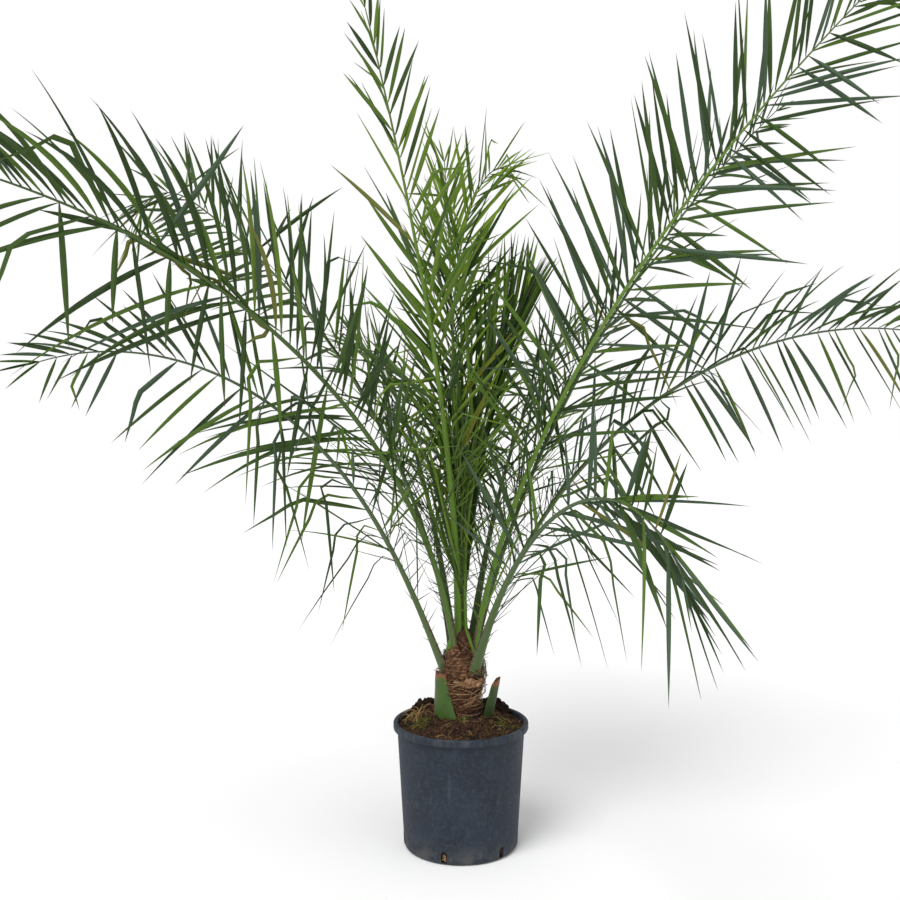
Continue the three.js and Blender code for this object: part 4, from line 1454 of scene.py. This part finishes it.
def soil_strand(chance, x, y, length, rise, curl, thick):
    """A dry blade or root that lies on the soil or springs from it."""
    heading = chance.uniform(0, 2 * math.pi)
    steps = 8
    place = Vector((x, y, 0))
    height = 0.0
    strand = []
    for i in range(steps + 1):
        share = i / steps
        ground = soil_level(place.x, place.y) + 0.001
        z = ground + height
        strand.append((Vector((place.x, place.y, z)), thick * (1 - 0.6 * share)))
        pitch = rise * math.cos(math.pi * share * 0.9)
        step = length / steps
        place += Vector((math.cos(heading), math.sin(heading), 0)) * step * math.cos(pitch)
        height = max(0.0, height + step * math.sin(pitch))
        heading += curl / steps
        if place.length > pot_high.x - 0.02:
            break
    return strand


def place_on_soil(chance, clear=0.062):
    """A random place on the soil, clear of the stem."""
    reach = pot_high.x - 0.025
    while True:
        x, y = chance.uniform(-reach, reach), chance.uniform(-reach, reach)
        if clear < math.hypot(x, y) < reach:
            return x, y


MOSS_PATCHES = (((-0.125, -0.045), 0.02, 170), ((0.13, -0.05), 0.022, 90), ((0.02, 0.14), 0.02, 60))


def dress_litter():
    """Dry grass, root hairs and moss on the soil."""
    chance = random.Random("litter")
    straw, roots, moss = [], [], []
    for _ in range(230):
        x, y = place_on_soil(chance)
        roots.append(soil_strand(
            chance, x, y, chance.uniform(0.02, 0.06), chance.uniform(-0.1, 0.5), chance.uniform(-3, 3),
            chance.uniform(0.0004, 0.0009)))
    for _ in range(70):
        x, y = place_on_soil(chance)
        straw.append(soil_strand(
            chance, x, y, chance.uniform(0.012, 0.045), chance.uniform(0.0, 0.7), chance.uniform(-4, 4),
            chance.uniform(0.0005, 0.001)))
    for _ in range(16):
        straw.append(soil_strand(
            chance, chance.gauss(-0.135, 0.014), chance.gauss(-0.01, 0.022), chance.uniform(0.05, 0.1),
            chance.uniform(0.9, 1.4), chance.uniform(-3, 3), chance.uniform(0.0008, 0.0014)))
    for centre, spread, count in MOSS_PATCHES:
        for _ in range(count):
            moss.append(soil_strand(
                chance, chance.gauss(centre[0], spread), chance.gauss(centre[1], spread),
                chance.uniform(0.006, 0.016), 1.35, chance.uniform(-2, 2), 0.0011))
    slot_roots = []
    for _ in range(14):
        x, depth = chance.uniform(-0.0062, 0.0062), chance.uniform(0.163, 0.1705)
        low, high = chance.uniform(0.009, 0.02), chance.uniform(0.022, 0.037)
        slot = Matrix.Rotation(math.radians(FIRST_SLOT), 3, "Z")
        root = []
        for k in range(7):
            swing = x + 0.003 * math.sin(9 * k / 6 + depth * 900)
            place = slot @ Vector((swing, -depth, low + (high - low) * k / 6))
            root.append((place, chance.uniform(0.0008, 0.0016)))
        slot_roots.append(root)
    strands_piece("slot_roots", slot_roots, TAN, "soil")
    strands_piece("soil_roots", roots, BROWN, "soil")
    strands_piece("soil_straw", straw, STRAW, "soil")
    strands_piece("soil_moss", moss, MOSS, "soil")


dress_litter()


# ---- cut leaf bases ----

# Where each base stands and faces, in degrees, its distance from the axis, its lean, its width at foot and
# top, its height, where its dry margin runs as shares across, the slant of its tear and the flare of its foot
STUBS = {
    "stub_front_left": (212, 232, 64, 4, (64, 38), 146, (0.86, 1.0), 4, -24),
    "stub_right": (355, 318, 80, 16, (48, 36), 124, (0.2, 0.0), -9, 0),
    "stub_back": (68, 68, 66, 9, (50, 34), 96, (0.86, 1.0), 0, 0),
    "stub_back_left": (140, 140, 66, 8, (44, 30), 74, (0.2, 0.0), 0, 0),
}
STUB_THICKNESS = 12


def stub_piece(name, at, turn, seat, lean, width, height, margin, slant, flare):
    """A flat leaf base that was cut off: bowed outside, thin at its edges, torn at its top."""
    green = shade(58, 86, 29) if "front" in name else shade(54, 74, 34)
    finish = stub_finish(f"{name}_flesh", green, margin)
    rows, columns = 26, 11
    outside, inside = [], []
    for i in range(rows + 1):
        share = i / rows
        outer_row, inner_row = [], []
        wide = width[0] + (width[1] - width[0]) * share + 3 * math.sin(math.pi * share)
        for j in range(columns + 1):
            u = j / columns * 2 - 1
            torn = 9 * noise.noise(Vector((u * 3.1, len(name), 0.5)))
            torn += 7 * noise.noise(Vector((u * 11, 2, 0)))
            torn = (torn + slant * u) * share**8
            h = share * height + torn
            body = STUB_THICKNESS * (1 - 0.35 * share) * (1 - abs(u) ** 2.4)
            base_y = share * height * math.tan(math.radians(lean))
            x = u * wide / 2 + 1.5 * noise.noise(Vector((share * 4, u, 9)))
            x += flare * (1 - share) ** 1.5 * (1 - u) / 2
            outer_row.append(Vector((x, base_y + 1.5 + body, h)))
            inner_row.append(Vector((x, base_y + 1.5 - 0.6 - 3.0 * (1 - abs(u) ** 2), h - 1.5 * share)))
        outside.append(outer_row)
        inside.append(inner_row)
    rings = [outer + list(reversed(inner)) for outer, inner in zip(outside, inside)]
    spin = Matrix.Rotation(math.radians(turn - 90), 4, "Z")
    a = math.radians(at)
    foot = Vector((seat * math.cos(a), seat * math.sin(a), STEM_FOOT - 8))
    rings = [[(spin @ p + foot) * MM for p in ring] for ring in rings]
    points, faces = loft(rings)
    obj = mesh_object(name.replace("stub", "cut_base"), points, faces, [finish])
    count = len(rings[0])
    across, along = [], []
    for face in faces:
        for v in face:
            column = v % count
            column = column if column <= columns else count - 1 - column
            across.append(column / columns)
            along.append((v // count) / rows)
    set_uv(obj.data, across, along, "Stub")
    recalculate(obj)
    return finished(obj, "stub", name)


for stub_name, stub in STUBS.items():
    stub_piece(stub_name, *stub)


# ---- stage ----

def floor():
    """The pale floor, a hair under the pot so that the two never share a face."""
    material = bpy.data.materials.new("studio_floor")
    material.use_nodes = True
    shader = material.node_tree.nodes["Principled BSDF"]
    shader.inputs["Base Color"].default_value = (0.95, 0.95, 0.95, 1)
    shader.inputs["Roughness"].default_value = 0.9
    reach = 30
    corners = [(x * reach, y * reach, -0.0005) for x, y in ((-1, -1), (1, -1), (1, 1), (-1, 1))]
    obj = mesh_object("studio_floor", corners, [(0, 1, 2, 3)], [material], False)


def sun(name, direction, softness, power):
    """A broad lamp far away: where it stands, how wide it looks in degrees and how strong it is."""
    light = bpy.data.lights.new(name, "SUN")
    light.angle = math.radians(softness)
    light.energy = power
    obj = linked(name, light)
    obj.rotation_euler = Vector(direction).to_track_quat("Z", "Y").to_euler()


def studio():
    """A pale floor, a white surround that lights softly, and a broad soft lamp with a weaker one."""
    scene = bpy.context.scene
    world = bpy.data.worlds.new("studio")
    world.use_nodes = True
    nodes, links = world.node_tree.nodes, world.node_tree.links
    path = nodes.new("ShaderNodeLightPath")
    level = nodes.new("ShaderNodeMapRange")
    level.inputs["To Min"].default_value = 0.56
    level.inputs["To Max"].default_value = 1.0
    links.new(path.outputs["Is Camera Ray"], level.inputs["Value"])
    links.new(level.outputs[0], nodes["Background"].inputs["Strength"])
    nodes["Background"].inputs["Color"].default_value = (1, 1, 1, 1)
    scene.world = world
    scene.view_settings.view_transform = "Standard"
    floor()
    sun("key", (-0.5, -0.75, 1.2), 32, 2.1)
    sun("fill", (0.8, -0.6, 0.6), 60, 0.4)


def camera():
    """The camera that the palm is seen with: level with its crown's lower half, a little down."""
    lens = bpy.data.cameras.new("camera")
    lens.lens = 44.0
    lens.sensor_width = 36.0
    obj = linked("camera", lens)
    obj.location = (-0.033, -3.3, 1.374)
    obj.rotation_euler = (math.radians(87.03), 0, 0)
    bpy.context.scene.camera = obj


studio()
camera()
